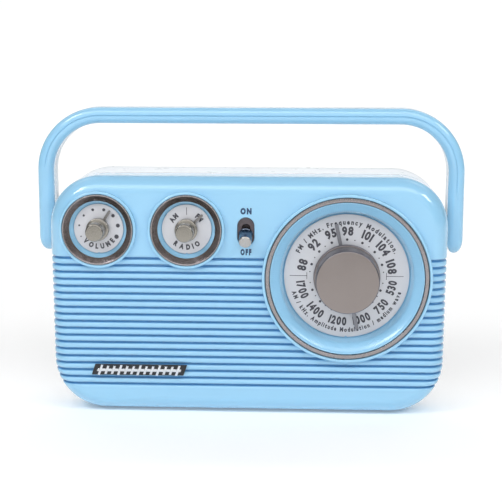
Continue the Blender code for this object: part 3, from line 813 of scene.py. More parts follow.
@dataclass
class Lettering:
    """Screen-printed figures and marks gathered into one thin raised mesh."""

    squeeze: float = 0.72
    weight: float = 0.012
    film: float = 0.03

    def __post_init__(self) -> None:
        """Start with nothing printed."""
        self.points: list[Point] = []
        self.faces: list[tuple[int, ...]] = []
        self.cache: dict = {}

    def stamp(self, points: Sequence[Point], faces: Sequence[Sequence[int]], place: Matrix) -> None:
        """Add a mark.

        Args:
            points: its points.
            faces: its faces.
            place: where it goes.
        """
        first = len(self.points)
        self.points += [tuple(place @ Vector(point)) for point in points]
        self.faces += [tuple(first + corner for corner in face) for face in faces]

    def arc(self, text: str, radius: float, angle: float, height: float, inward: bool = False,
            space: float = 0.18, squeeze: float | None = None) -> None:
        """Set text round a circle.

        Args:
            text: the characters.
            radius: radius of the letters' middle line.
            angle: clock angle of the text's middle, in degrees from the top.
            height: capital height in millimetres.
            inward: letters' tops point to the centre.
            space: gap between letters as a share of the height.
            squeeze: width as a share of the typeface's own.
        """
        squeeze = squeeze or self.squeeze
        made = [glyph(letter, height, squeeze, self.weight, self.cache) for letter in text]
        widths = [width if letter != " " else height * 0.35 for letter, (_, _, width) in zip(text, made)]
        total = sum(widths) + space * height * (len(text) - 1)
        way = -1 if inward else 1
        run = -total / 2
        for (points, faces, _), width in zip(made, widths):
            clock = math.radians(angle) + way * (run + width / 2) / radius
            run += width + space * height
            if not faces:
                continue
            upright = Matrix.Rotation(clock + (math.pi if inward else 0.0), 4, 'Y')
            centre = Vector((radius * math.sin(clock), 0, radius * math.cos(clock)))
            drop = Matrix.Translation((0, 0, -height / 2))
            self.stamp(points, faces, Matrix.Translation(centre) @ upright @ drop)

    def dot(self, radius: float, angle: float, size: float) -> None:
        """Print a round dot at a clock angle in degrees.

        Args:
            radius: distance from the centre.
            angle: clock angle in degrees.
            size: radius of the dot.
        """
        clock = math.radians(angle)
        rim = [(size * math.cos(FULL * i / 16), size * math.sin(FULL * i / 16)) for i in range(16)]
        points = [(x, y, z) for y in (self.film, -self.film) for x, z in rim]
        faces = [tuple(range(16)), tuple(range(31, 15, -1))]
        faces += [(i, (i + 1) % 16, 16 + (i + 1) % 16, 16 + i) for i in range(16)]
        self.stamp(points, faces,
                   Matrix.Translation((radius * math.sin(clock), 0, radius * math.cos(clock))))

    def bar(self, half: float, inner: float, outer: float, angle: float) -> None:
        """Print a bar that stands on a radius.

        Args:
            half: half of its width across the radius.
            inner: radius of its near end.
            outer: radius of its far end.
            angle: clock angle in degrees.
        """
        corners = ((-half, inner), (half, inner), (half, outer), (-half, outer))
        points = [(x, y, z) for y in (self.film, -self.film) for x, z in corners]
        faces = [(0, 1, 2, 3), (7, 6, 5, 4), (0, 1, 5, 4), (1, 2, 6, 5), (2, 3, 7, 6), (3, 0, 4, 7)]
        self.stamp(points, faces, Matrix.Rotation(math.radians(angle), 4, 'Y'))

    def finish(self, name: str, centre: Point) -> bpy.types.Object:
        """Make the print's object with its own middle at the given place in millimetres.

        Args:
            name: the piece's name.
            centre: where the middle of the print stands, in millimetres.

        Returns:
            The piece.
        """
        bm = bmesh.new()
        corners = [bm.verts.new(Vector(point) + Vector(centre)) for point in self.points]
        for face in self.faces:
            try:
                bm.faces.new([corners[i] for i in face])
            except ValueError:
                continue
        return solid(name, bm)


def put(made: bpy.types.Object, body: str, material: bpy.types.Material, slot: str, *nodes: str) -> None:
    """Dress a piece, fasten it to a moving body and let it stand for CAD nodes.

    Args:
        made: the piece.
        body: the body that it moves with.
        material: its finish.
        slot: the record's material slot; not used.
        nodes: CAD nodes that it stands for.
    """
    made.data.materials.clear()
    made.data.materials.append(material)
    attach(made, body)
    if nodes:
        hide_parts(*nodes)
    LOG.info("piece %s on %s", made.name, body)


# ------------------------------------------------------------------ case

@dataclass
class CaseShape:
    """The case's outline seen from the front, and its rounded front and back edges."""

    front: float
    back: float
    bottom: float
    top: float
    parting: float
    half_top: float = 122.1
    half_bottom: float = 121.0
    corner_top: float = 31.0
    corner_bottom: float = 32.5
    front_in: float = 9.7
    front_deep: float = 11.4
    back_edge: float = 14.0
    wall: float = 2.4
    gap: float = 0.3
    corner_steps: int = 18
    edge_steps: int = 12

    def half_width(self, z: float, inset: float) -> float:
        """Half width of the outline at a height, drawn in by inset.

        Args:
            z: the height.
            inset: how far the outline is drawn in.

        Returns:
            The half width.
        """
        share = (z - self.bottom) / (self.top - self.bottom)
        wide = self.half_bottom + (self.half_top - self.half_bottom) * share - inset
        for centre, full, over in ((self.top - self.corner_top, self.corner_top, 1),
                                   (self.bottom + self.corner_bottom, self.corner_bottom, -1)):
            past = over * (z - centre)
            if past > 0:
                radius = full - inset
                reach = min(past / radius, 1.0)
                wide -= radius * (1 - math.sqrt(1 - reach * reach))
        return wide

    def outline(self, inset: float) -> Profile:
        """Closed (x, z) outline drawn in by inset.

        Args:
            inset: how far it is drawn in.

        Returns:
            The points, in order round the case.
        """
        points: Profile = []
        for side, top in ((1, True), (-1, True), (-1, False), (1, False)):
            radius = (self.corner_top if top else self.corner_bottom) - inset
            centre = self.top - inset - radius if top else self.bottom + inset + radius
            order = list(range(self.corner_steps + 1))
            if (side < 0) == top:
                order.reverse()
            for i in order:
                z = centre + (1 if top else -1) * radius * math.sin(math.pi / 2 * i / self.corner_steps)
                points.append((side * self.half_width(z, inset), z))
        return points

    def ring(self, inset: float, y: float) -> list[Point]:
        """The outline at one depth."""
        return [(x, y, z) for x, z in self.outline(inset)]

    def front_edge(self, skin: float, angle: float) -> tuple[float, float]:
        """Inset and depth of a point on the front rounding, skin under the surface."""
        inset = skin + (self.front_in - skin / 2) * (1 - math.sin(angle))
        return inset, self.front + skin + (self.front_deep - skin) * (1 - math.cos(angle))

    def front_rings(self, skin: float, end: float) -> list[list[Point]]:
        """Rings from the dial face over its rounded edge to a depth.

        Args:
            skin: depth under the surface.
            end: depth of the last ring.

        Returns:
            The rings, front to back.
        """
        rings = []
        for i in range(self.edge_steps + 1):
            inset, y = self.front_edge(skin, math.pi / 2 * i / self.edge_steps)
            rings.append(self.ring(inset, y))
        rings.append(self.ring(skin, end))
        return rings

    def back_rings(self, skin: float, start: float) -> list[list[Point]]:
        """Rings from a depth over the rounded back edge to the back face.

        Args:
            skin: depth under the surface.
            start: depth of the first ring.

        Returns:
            The rings, front to back.
        """
        rings = [self.ring(skin, start)]
        for i in range(self.edge_steps + 1):
            angle = math.pi / 2 * i / self.edge_steps
            inset = skin + (self.back_edge - skin / 2) * (1 - math.cos(angle))
            y = self.back - skin - (self.back_edge - skin) * (1 - math.sin(angle))
            rings.append(self.ring(inset, y))
        return rings


@dataclass
class RoundLip:
    """A soft rim that stands round a dial well."""

    x: float
    z: float
    inner: float
    outer: float
    proud: float


@dataclass
class FrontMoulding:
    """Blue front: rounded ribs that wrap the sides, three rimmed dial wells and the toggle slot."""

    shape: CaseShape
    lips: list[RoundLip]
    slot_x: float
    slot_z: float
    slot_half_width: float = 5.1
    slot_half_length: float = 8.55
    grooves: int = 19
    pitch: float = 4.4
    first_z: float = 97.9
    run_back: float = 21.0
    fade: float = 4.5
    side_cut: float = 0.6

    def groove(self, z: float) -> bmesh.types.BMesh:
        """The cutter for one groove: a channel with flared edges, so that the ribs between are rounded.

        Args:
            z: the groove's height.

        Returns:
            A closed bmesh that follows the front face and both rounded sides.
        """
        half = ((-0.6, 2.14), (0.02, 1.95), (0.07, 1.7), (0.17, 1.4), (0.33, 1.12), (0.55, 0.88),
                (0.85, 0.68), (1.2, 0.55), (1.6, 0.47), (1.9, 0.38), (2.0, 0.18))
        section = list(half) + [(depth, -rise) for depth, rise in reversed(half)]
        shape = self.shape
        end = shape.front + self.run_back
        stations: list[tuple[float, float | None, float]] = []
        for share in (0.0, 0.3, 0.65, 1.0):
            stations.append((self.side_cut * math.sin(math.pi / 2 * share), None, end - self.fade * share))
        for i in range(shape.edge_steps, -1, -1):
            turned_in = i / shape.edge_steps
            stations.append((1 - (1 - self.side_cut) * turned_in, math.pi / 2 * turned_in, 0.0))
        rings = []
        for side, order in ((-1, stations), (1, stations[::-1])):
            for cut, angle, at in order:
                ring = []
                for depth, rise in section:
                    skin = depth * cut - 0.35 * (1 - cut) if depth > 0 else depth
                    inset, y = shape.front_edge(skin, math.pi / 2 if angle is None else angle)
                    y = at if angle is None else y
                    ring.append((side * shape.half_width(z + rise, inset), y, z + rise))
                rings.append(ring)
        return loft(rings)

    def build(self) -> bpy.types.Object:
        """Shape the moulding.

        Returns:
            The piece.
        """
        shape = self.shape
        end = shape.parting - shape.gap / 2
        outer = shape.front_rings(0, end)
        inner = shape.front_rings(shape.wall, end)
        made = solid("front_cover", loft(outer + inner[::-1]))
        cuts = merge(*[self.groove(self.first_z - i * self.pitch) for i in range(self.grooves)])
        bores = bmesh.new()
        rims = bmesh.new()
        for lip in self.lips:
            middle = (lip.inner + lip.outer) / 2
            bore = turned([(-8, 0), (-8, middle), (6, middle), (6, 0)])
            merge(bores, moved(bore, (lip.x, shape.front, lip.z)))
            rim = rounded([(1.9, lip.inner), (1.9, lip.outer),
                           (-lip.proud, lip.outer), (-lip.proud, lip.inner)], {2: 0.88, 3: 0.8}, 5)
            merge(rims, moved(turned(rim, 128), (lip.x, shape.front, lip.z)))
        slot = []
        for y, grow in ((-6.0, 0.5), (0.0, 0.5), (0.12, 0.2), (0.45, 0.0), (6.0, 0.0)):
            flat = stadium(self.slot_half_width + grow, self.slot_half_length + grow)
            slot.append([(self.slot_x + x, shape.front + y, self.slot_z + z) for x, z in flat])
        carve(made, (('DIFFERENCE', cuts), ('DIFFERENCE', bores), ('UNION', rims),
                     ('DIFFERENCE', loft(slot))), 50)
        even_shading(made)
        return made

    def dress(self, made: bpy.types.Object) -> None:
        """Give the moulding its gloss, with painted shade on the grooves' own faces.

        Args:
            made: the moulding.
        """
        put(made, "case", SKY_ABS.make(), "sky_shell", "front_shell")
        # Second material for the grooves: its deeper blue is painted shade.
        ribbed = ChannelledPlastic("ABS_sky_blue_ribbed_moulding", SKY_ABS.colour, SKY_ABS.roughness,
                                   coat=SKY_ABS.coat, first_z=self.first_z, pitch=self.pitch)
        made.data.materials.append(ribbed.make())
        last_z = self.first_z - (self.grooves - 1) * self.pitch
        end = self.shape.front + self.run_back - self.fade / 2
        # Mask for the painted shade: faces near a groove's middle, away from the dial rims.
        for face in made.data.polygons:
            x, y, z = face.center / MM
            if not last_z - 2 < z < self.first_z + 2 or y > end:
                continue
            share = (self.first_z - z) / self.pitch
            near = abs(share - round(share)) * self.pitch
            rimmed = any(math.hypot(x - lip.x, z - lip.z) < lip.outer + 0.05 for lip in self.lips)
            if near < 1.93 and not rimmed:
                face.material_index = 1


@dataclass
class BackMoulding:
    """White back: rounded shell with battery tub, aerial shelf, slots, sockets and screw wells."""

    shape: CaseShape
    pivot_y: float
    pivot_z: float
    bay: tuple[float, float, float, float] = (-18.0, 90.0, 20.0, 76.0)
    bay_floor: float = 12.0
    tub_wall: float = 4.5
    door_thick: float = 2.2
    shelf_deep: float = 11.0
    shelf_down: float = 12.0
    speaker_x: float = -68.0
    speaker_z: float = 75.0
    speaker_radius: float = 37.0
    slot_count: int = 11
    slot_pitch: float = 5.6
    slot_half: float = 1.3
    sockets: tuple = ((-86.0, 27.0, 5.6), (-68.0, 27.0, 4.6))
    screws: tuple = ((-64.0, 128.0), (100.0, 128.0), (-101.0, 24.0), (101.0, 24.0))

    def flared(self, outline: Profile, depth: float, ease: float = 0.45) -> bmesh.types.BMesh:
        """Cutter for an opening in the back face whose mouth is rounded.

        Args:
            outline: the opening's (x, z) outline.
            depth: how far in it reaches.
            ease: size of the mouth's rounding.

        Returns:
            A closed bmesh.
        """
        cx = sum(x for x, _ in outline) / len(outline)
        cz = sum(z for _, z in outline) / len(outline)
        rings = []
        for y, grow in ((-depth, 0.0), (-ease, 0.0), (-ease * 0.3, ease * 0.3), (0.02, ease), (4.0, ease)):
            ring = []
            for x, z in outline:
                away = Vector((x - cx, z - cz))
                wide = (abs(away.x) + grow) / abs(away.x) if abs(away.x) > 1e-3 else 1.0
                tall = (abs(away.y) + grow) / abs(away.y) if abs(away.y) > 1e-3 else 1.0
                ring.append((cx + away.x * wide, self.shape.back + y, cz + away.y * tall))
            rings.append(ring)
        return loft(rings)

    def shelf(self, grow: float, ease: float) -> bmesh.types.BMesh:
        """The aerial's shelf along the top back edge, with eased edges; grow gives the wall round it.

        Args:
            grow: how much larger it is than the opening.
            ease: size of the rounding on its edges.

        Returns:
            A closed bmesh.
        """
        shape = self.shape
        y = shape.back - self.shelf_deep - grow
        z = shape.top - self.shelf_down - grow
        flat = [(y, z), (y, shape.top - ease), (y - ease * 0.3, shape.top - ease * 0.3),
                (y - ease, shape.top + 0.02), (y - ease, shape.top + 5), (shape.back + 5, shape.top + 5),
                (shape.back + 5, z - ease), (shape.back + 0.02, z - ease),
                (shape.back - ease * 0.3, z - ease * 0.3), (shape.back - ease, z)]
        if not ease:
            flat = [(y, z), (y, shape.top + 5), (shape.back + 5, shape.top + 5), (shape.back + 5, z)]
        return loft([[(x, along, up) for along, up in flat] for x in (-145, 145)])

    def build(self) -> bpy.types.Object:
        """Shape the moulding.

        Returns:
            The piece.
        """
        shape = self.shape
        x0, x1, z0, z1 = self.bay
        start = shape.parting + shape.gap / 2
        made = solid("back_cover", loft(shape.back_rings(0, start)))
        hollow = solid("hollow", loft(shape.back_rings(shape.wall, shape.parting - 5)))
        tub = block(x0 - self.tub_wall, x1 + self.tub_wall, self.bay_floor - 2, shape.back + 5,
                    z0 - self.tub_wall, z1 + self.tub_wall)
        carve(hollow, (('DIFFERENCE', self.shelf(shape.wall, 0)), ('DIFFERENCE', tub)))
        inside = bmesh.new()
        inside.from_mesh(hollow.data)
        bmesh.ops.scale(inside, vec=(1 / MM,) * 3, verts=inside.verts)
        bpy.data.objects.remove(hollow)
        openings = merge(self.shelf(0, 0.8), block(x0, x1, self.bay_floor, shape.back + 5, z0, z1))
        rebate = self.flared(rectangle(x0 - 3, x1 + 3, z0 - 3, z1 + 3, 2.0), self.door_thick + shape.gap)
        holes = bmesh.new()
        for i in range(self.slot_count):
            rise = self.slot_pitch * (i - (self.slot_count - 1) / 2)
            half = math.sqrt((self.speaker_radius - 4) ** 2 - rise ** 2)
            middle = self.speaker_z + rise
            slot = rectangle(self.speaker_x - half, self.speaker_x + half, middle - self.slot_half,
                             middle + self.slot_half, self.slot_half - 0.01)
            merge(holes, self.flared(slot, 6.0, 0.35))
        for x, z, radius in self.sockets:
            circle = [(x + radius * math.cos(FULL * i / 48), z + radius * math.sin(FULL * i / 48))
                      for i in range(48)]
            merge(holes, self.flared(circle, 6.0))
        for x, z in self.screws:
            well = turned([(4, 0), (4, 4.0), (0.02, 4.0), (-0.4, 3.6), (-1.6, 3.6), (-1.6, 1.8),
                           (-5, 1.8), (-5, 0)], 32)
            merge(holes, moved(well, (x, shape.back, z)))
        hinge = moved(along_x(turned([(-135, 0), (-135, 3.3), (135, 3.3), (135, 0)], 32)),
                      (0, self.pivot_y, self.pivot_z))
        carve(made, (('DIFFERENCE', inside), ('DIFFERENCE', openings), ('DIFFERENCE', rebate),
                     ('DIFFERENCE', holes), ('DIFFERENCE', hinge)), 50)
        even_shading(made)
        return made

    def dress(self, made: bpy.types.Object) -> None:
        """Give the moulding its satin white and put it on the case."""
        put(made, "case", WHITE_ABS.make(), "white_shell", "rear_shell")


# ------------------------------------------------------------------ dials

@dataclass
class TuningDial:
    """Spun bezel, mirror-polished cone, silver scale, and the turning knob with its two-ended pointer."""

    centre: Vector
    rest: float = -11.6
    knob_radius: float = 19.2
    rule: float = 0.32
    fm_stations: tuple = ((88, -76.0), (92, -46.4), (95, -21.0), (98, 0.6), (101, 26.5), (104, 52.0),
                          (108, 77.7))
    am_stations: tuple = ((530, 104.2), (750, 131.2), (1000, 160.5), (1200, 190.3), (1400, 221.3),
                          (1700, 252.3))

    def bezel(self) -> bpy.types.Object:
        """Spun ring with a rolled front edge.

        Returns:
            The piece.
        """
        profile = rounded([(-2.6, 47.3), (-2.6, 49.6), (2.8, 49.7), (2.8, 47.3), (-1.6, 47.1)],
                          {0: 0.25, 1: 0.4, 4: 0.2}, 5)
        return self.placed("tuning_ring", turned(profile, 160))

    def cone(self) -> bpy.types.Object:
        """Dished surround: a shallow polished cone, a steep inner wall and a flat floor under the scale.

        Returns:
            The piece.
        """
        profile = rounded([(-1.8, 46.2), (-1.0, 45.6), (2.6, 40.9), (9.9, 38.9), (9.9, 4.6),
                           (11.5, 4.6), (11.5, 40.4), (5.0, 42.4), (4.6, 44.8), (4.6, 52.4),
                           (3.1, 52.4), (3.1, 46.9), (-1.8, 46.9)],
                          {0: 0.3, 1: 0.5, 2: 1.4, 3: 0.5, 12: 0.25}, 5)
        return self.placed("tuning_cone", turned(profile, 160))

    def scale(self) -> bpy.types.Object:
        """Thin pressed scale plate with a keying notch in its lower edge.

        Returns:
            The piece.
        """
        profile = rounded([(8.9, 4.6), (8.9, 38.4), (9.6, 38.4), (9.6, 4.6)], {1: 0.15}, 3)
        made = self.placed("tuning_plate", turned(profile, 160))
        notch = moved(turned([(7, 0), (7, 0.8), (11, 0.8), (11, 0)], 24),
                      (self.centre.x, self.centre.y, self.centre.z - 38.5))
        return carve(made, (('DIFFERENCE', notch),))

    def print(self) -> bpy.types.Object:
        """Station figures, dots, half-way lines and captions.

        Returns:
            The piece.
        """
        ink = Lettering(squeeze=0.84, weight=0.05)
        for station, angle in self.fm_stations:
            ink.arc(str(station), 28.2, angle, 5.2, space=0.12)
        for station, angle in self.am_stations:
            ink.arc(str(station), 28.4, angle, 5.0, inward=True, space=0.1, squeeze=0.75)
        for angle in (0, 24.3, 48.2, 71.5, 113, 135, 157, 203, 225, 247, 288.5, 311.8, 335.7):
            ink.dot(22.7, angle, 0.8)
        for angle in (12, 36, 60, 83.5, 101, 123.5, 145.5, 168, 180, 192, 214.5, 236.5, 259, 276.5,
                      300, 324, 348):
            ink.dot(22.7, angle, 0.4)
        for angle in (90, 270):
            ink.bar(self.rule / 2, 24.2, 34.9, angle)
            ink.bar(2.2, 24.4 - self.rule / 2, 24.4 + self.rule / 2, angle)
        ink.arc("FM / MHz. Frequency Modulation.", 33.6, 0, 2.9, space=0.3, squeeze=0.86)
        ink.arc("AM / kHz. Amplitude Modulation / medium wave", 33.7, 180, 2.7, inward=True,
                space=0.22, squeeze=0.76)
        return ink.finish("tuning_figures", (self.centre.x, self.centre.y + 8.9 - ink.film, self.centre.z))

    def knob(self) -> bpy.types.Object:
        """Deep turned knob with a chamfered face, a fine step and a skirt.

        Returns:
            The piece.
        """
        radius = self.knob_radius
        profile = rounded([(-12.4, 0), (-12.4, radius - 0.5), (-11.9, radius), (2.2, radius + 0.2),
                           (2.2, radius + 0.9), (3.6, radius + 1.2), (4.8, radius + 1.2), (4.8, 3.3),
                           (-9.0, 3.3), (-9.0, 0)],
                          {1: 0.3, 2: 0.3, 4: 0.3, 5: 0.3}, 4)
        return self.placed("tuning_grip", turned(profile, 160))

    def pointer(self) -> bpy.types.Object:
        """Pressed hub with two flat bars whose edges are eased.

        Returns:
            The piece.
        """
        hub = turned(rounded([(5.1, 3.3), (5.1, 12.0), (6.1, 12.0), (6.1, 3.3)], {1: 0.25}, 3), 64)
        half, near, far = 1.15, 11.0, 33.4
        parts = [prism([(-half, end * near), (half, end * near), (half, end * far), (-half, end * far)],
                       5.1, 6.1, 0.22) for end in (1, -1)]
        turn = math.radians(self.rest)
        where = tuple(self.centre)
        made = solid("tuning_needle", moved(hub, where, turn))
        return carve(made, [('UNION', moved(bar, where, turn)) for bar in parts])

    def placed(self, name: str, bm: bmesh.types.BMesh) -> bpy.types.Object:
        """Turn a mesh made round the dial's axis into a piece at the dial."""
        return solid(name, moved(bm, tuple(self.centre)))

    def build_and_dress(self) -> None:
        """Make every piece of the dial and dress it."""
        axis = tuple(self.centre * MM)
        knob_metal = WorkedMetal(KNOB_METAL, "968E8B", 0.33, 1.0, Grain.TURNED, 0.3, 0.003, axis)
        put(self.bezel(), "case", RING_METAL.make(), "champagne_metal", "tuning_bezel")
        # The cone's blue is a touch lighter than the case's blue: painted light that lifts the shaded dish.
        cone_plastic = FlutedPlastic("ABS_sky_blue_mirror_polished", "98CFF1", 0.11, coat=0.6, centre=axis)
        put(self.cone(), "case", cone_plastic.make(), "sky_shell", "tuning_dish")
        put(self.scale(), "case", DIAL_SILVER.make(), "dial_plate", "tuning_scale")
        put(self.print(), "case", DIAL_INK.make(), "black_plastic")
        grip = self.knob()
        put(grip, "tuning", knob_metal.make(), "champagne_metal", "tuning_knob")
        # Faces that do not face the front take the darker side metal: painted shade round the knob's side.
        grip.data.materials.append(KNOB_SIDE_SHADED.make())
        for face in grip.data.polygons:
            face.material_index = 1 if abs(face.normal.y) < 0.9 else 0
        put(self.pointer(), "tuning", POINTER_METAL.make(), "steel", "tuning_pointer")


class SmallMarks(Enum):
    """What a small dial's plate shows."""

    VOLUME = "VOLUME"
    BAND = "RADIO"


@dataclass
class SmallDial:
    """Flared dark ring, blue cup, silver plate, and a stepped knob with a slim pointer."""

    centre: Vector
    marks: SmallMarks
    body: str
    rest: float

    def placed(self, name: str, bm: bmesh.types.BMesh) -> bpy.types.Object:
        """Turn a mesh made round the dial's axis into a piece at the dial."""
        return solid("%s_%s" % (self.body, name), moved(bm, tuple(self.centre)))

    def print(self) -> bpy.types.Object:
        """Growing volume dots, or the two band names, over the dial's word.

        Returns:
            The piece.
        """
        ink = Lettering(squeeze=0.8, weight=0.065)
        if self.marks is SmallMarks.VOLUME:
            for number, angle in enumerate((-114.5, -81, -48.5, -16.4, 16.4, 48.5, 81, 114.5)):
                ink.dot(12.0, angle, 0.45 + 0.13 * number)
        else:
            ink.bar(0.175, 8.8, 13.4, 0)
            ink.arc("AM", 10.6, -49, 3.0)
            ink.arc("FM", 10.6, 47, 3.0)
        ink.arc(self.marks.value, 10.9, 180, 3.0, inward=True, space=0.42)
        return ink.finish(self.body + "_figures",
                          (self.centre.x, self.centre.y + 3.4 - ink.film, self.centre.z))

    def pieces(self) -> dict[str, bpy.types.Object]:
        """Shape every piece of the dial.

        Returns:
            The pieces by part of the dial.
        """
        bezel = rounded([(-2.8, 20.9), (-2.8, 21.6), (0.4, 21.6), (0.4, 17.6), (-0.1, 17.5), (-0.5, 18.0)],
                        {0: 0.25, 1: 0.3, 5: 0.4}, 4)
        cup = rounded([(0.7, 17.5), (3.9, 15.5), (4.4, 15.3), (4.4, 3.6), (5.9, 3.6), (5.9, 20.9),
                       (5.4, 21.4), (0.7, 21.4)], {0: 0.15, 1: 0.25}, 4)
        plate = rounded([(3.4, 3.6), (3.4, 15.2), (4.1, 15.2), (4.1, 3.6)], {1: 0.12}, 3)
        knob = rounded([(-14.0, 0), (-14.0, 4.9), (-13.5, 5.4), (-3.2, 5.6), (-2.9, 5.3), (-2.5, 5.6),
                        (-2.2, 6.9), (1.5, 6.9), (1.5, 3.3), (-10.0, 3.3), (-10.0, 0)],
                        {1: 0.25, 2: 0.25, 6: 0.35, 7: 0.2}, 4)
        hub = rounded([(1.8, 3.3), (1.8, 6.4), (2.6, 6.4), (2.6, 3.3)], {1: 0.2}, 3)
        where, turn = tuple(self.centre), math.radians(self.rest)
        pointer = solid(self.body + "_needle", moved(turned(hub, 48), where, turn))
        arm = [(-0.8, 6.0), (0.8, 6.0)]
        arm += [(0.8 * math.cos(math.pi * i / 10), 12.6 + 0.8 * math.sin(math.pi * i / 10))
                for i in range(11)]
        carve(pointer, (('UNION', moved(prism(arm, 1.8, 2.6, 0.15), where, turn)),))
        made = {"bezel": self.placed("ring", turned(bezel, 112)),
                "dish": self.placed("cup", turned(cup, 112)),
                "scale": self.placed("plate", turned(plate, 112)),
                "knob": self.placed("grip", turned(knob, 72)),
                "pointer": pointer}
        notch = moved(turned([(2, 0), (2, 0.7), (5, 0.7), (5, 0)], 20),
                      (self.centre.x, self.centre.y, self.centre.z - 15.3))
        carve(made["scale"], (('DIFFERENCE', notch),))
        return made

    def build_and_dress(self) -> None:
        """Make every piece of the dial and dress it."""
        made = self.pieces()
        axis = tuple(self.centre * MM)
        knob_metal = WorkedMetal(KNOB_METAL + "_" + self.body, "9C9890", 0.27, 1.0, Grain.TURNED, 0.25,
                                 0.003, axis)
        put(made["bezel"], "case", DARK_RING.make(), "champagne_metal", self.body + "_bezel")
        # The rolled rim takes the lighter champagne metal: a painted highlight along the ring's edge.
        made["bezel"].data.materials.append(RING_METAL.make())
        for face in made["bezel"].data.polygons:
            away = math.hypot(face.center.x / MM - self.centre.x, face.center.z / MM - self.centre.z)
            face.material_index = 1 if away > 20.8 else 0
        put(made["dish"], "case", SKY_ABS.make(), "sky_shell", self.body + "_dish")
        put(made["scale"], "case", DIAL_SILVER.make(), "dial_plate", self.body + "_scale")
        put(self.print(), "case", DIAL_INK.make(), "black_plastic")
        put(made["knob"], self.body, knob_metal.make(), "champagne_metal", self.body + "_knob")
        put(made["pointer"], self.body, PALE_POINTER.make(), "steel", self.body + "_pointer")


# ------------------------------------------------------------------ toggle switch

@dataclass
class ToggleSwitch:
    """Brown-grey switch body behind a slot, its plated bat lever, and the two words beside it."""

    pivot: Vector
    front: float
    length: float = 13.5
    tilt: float = 23.0
    word_height: float = 3.4

    def housing(self) -> bpy.types.Object:
        """Switch body with a dished face and a throat that the lever swings in.

        Returns:
            The piece.
        """
        x, z = self.pivot.x, self.pivot.z
        made = solid("switch_housing", block(x - 8.5, x + 8.5, self.front + 2.8, self.front + 13.1,
                                             z - 13, z + 13, 0.4))
        dished = []
        for y, grow in ((1.0, 0.8), (3.2, 0.6), (3.7, 0.3), (3.9, -0.2)):
            dished.append([(x + u, self.front + y, z + v) for u, v in stadium(5.1 + grow, 8.55 + grow)])
        throat = [[(x + u, self.front + y, z + v) for u, v in stadium(2.6 + grow, 3.9 + grow)]
                  for y, grow in ((3.0, 0.5), (3.9, 0.3), (4.3, 0.0), (9.0, 0.0))]
        return carve(made, (('DIFFERENCE', loft(dished)), ('DIFFERENCE', loft(throat))))

    def lever(self) -> bpy.types.Object:
        """Ball, waist, collar and plain barrel with a flat satin end.

        Returns:
            The piece.
        """
        length = self.length
        profile = rounded([(2.2, 0), (2.2, 1.6), (-2.9, 2.0), (-3.1, 4.2), (-4.1, 4.2), (-4.5, 3.8),
                           (0.5 - length, 3.9), (-length, 3.5), (-length, 0)],
                          {1: 0.8, 3: 0.3, 4: 0.3, 6: 0.4, 7: 0.2}, 4)
        made = solid("switch_lever", moved(turned(profile, 64), (0, 0, 0), math.radians(self.tilt), 'X'))
        for vertex in made.data.vertices:
            vertex.co += self.pivot * MM
        return made

    def words(self) -> bpy.types.Object:
        """ON above the slot and OFF under it.

        Returns:
            The piece.
        """
        ink = Lettering(squeeze=0.8, weight=0.075)
        for text, rise in (("ON", 12.6), ("OFF", -12.5)):
            run = 0.0
            squeeze = 0.62 if len(text) == 3 else ink.squeeze
            made = [glyph(letter, self.word_height, squeeze, ink.weight, ink.cache) for letter in text]
            total = sum(width for _, _, width in made) + 0.55 * (len(made) - 1)
            for points, faces, width in made:
                place = (run + width / 2 - total / 2, 0, rise - self.word_height / 2)
                ink.stamp(points, faces, Matrix.Translation(place))
                run += width + 0.55
        return ink.finish("switch_words", (self.pivot.x + 0.1, self.front - 0.02, self.pivot.z))

    def build_and_dress(self) -> None:
        """Make every piece of the switch and dress it."""
        put(self.housing(), "case", SWITCH_ABS.make(), "switch_plastic", "power_switch_body")
        lever = self.lever()
        put(lever, "power_lever", LEVER_BARREL.make(), "bright_metal", "power_switch_lever")
        lever.data.materials.append(LEVER_CAP.make())
        tip = Vector((0, -math.cos(math.radians(self.tilt)), -math.sin(math.radians(self.tilt))))
        for face in lever.data.polygons:
            along = (face.center / MM - self.pivot).dot(tip)
            face.material_index = 1 if along > self.length - 0.6 else 0
        put(self.words(), "case", NAVY_INK.make(), "black_plastic")


# ------------------------------------------------------------------ handle

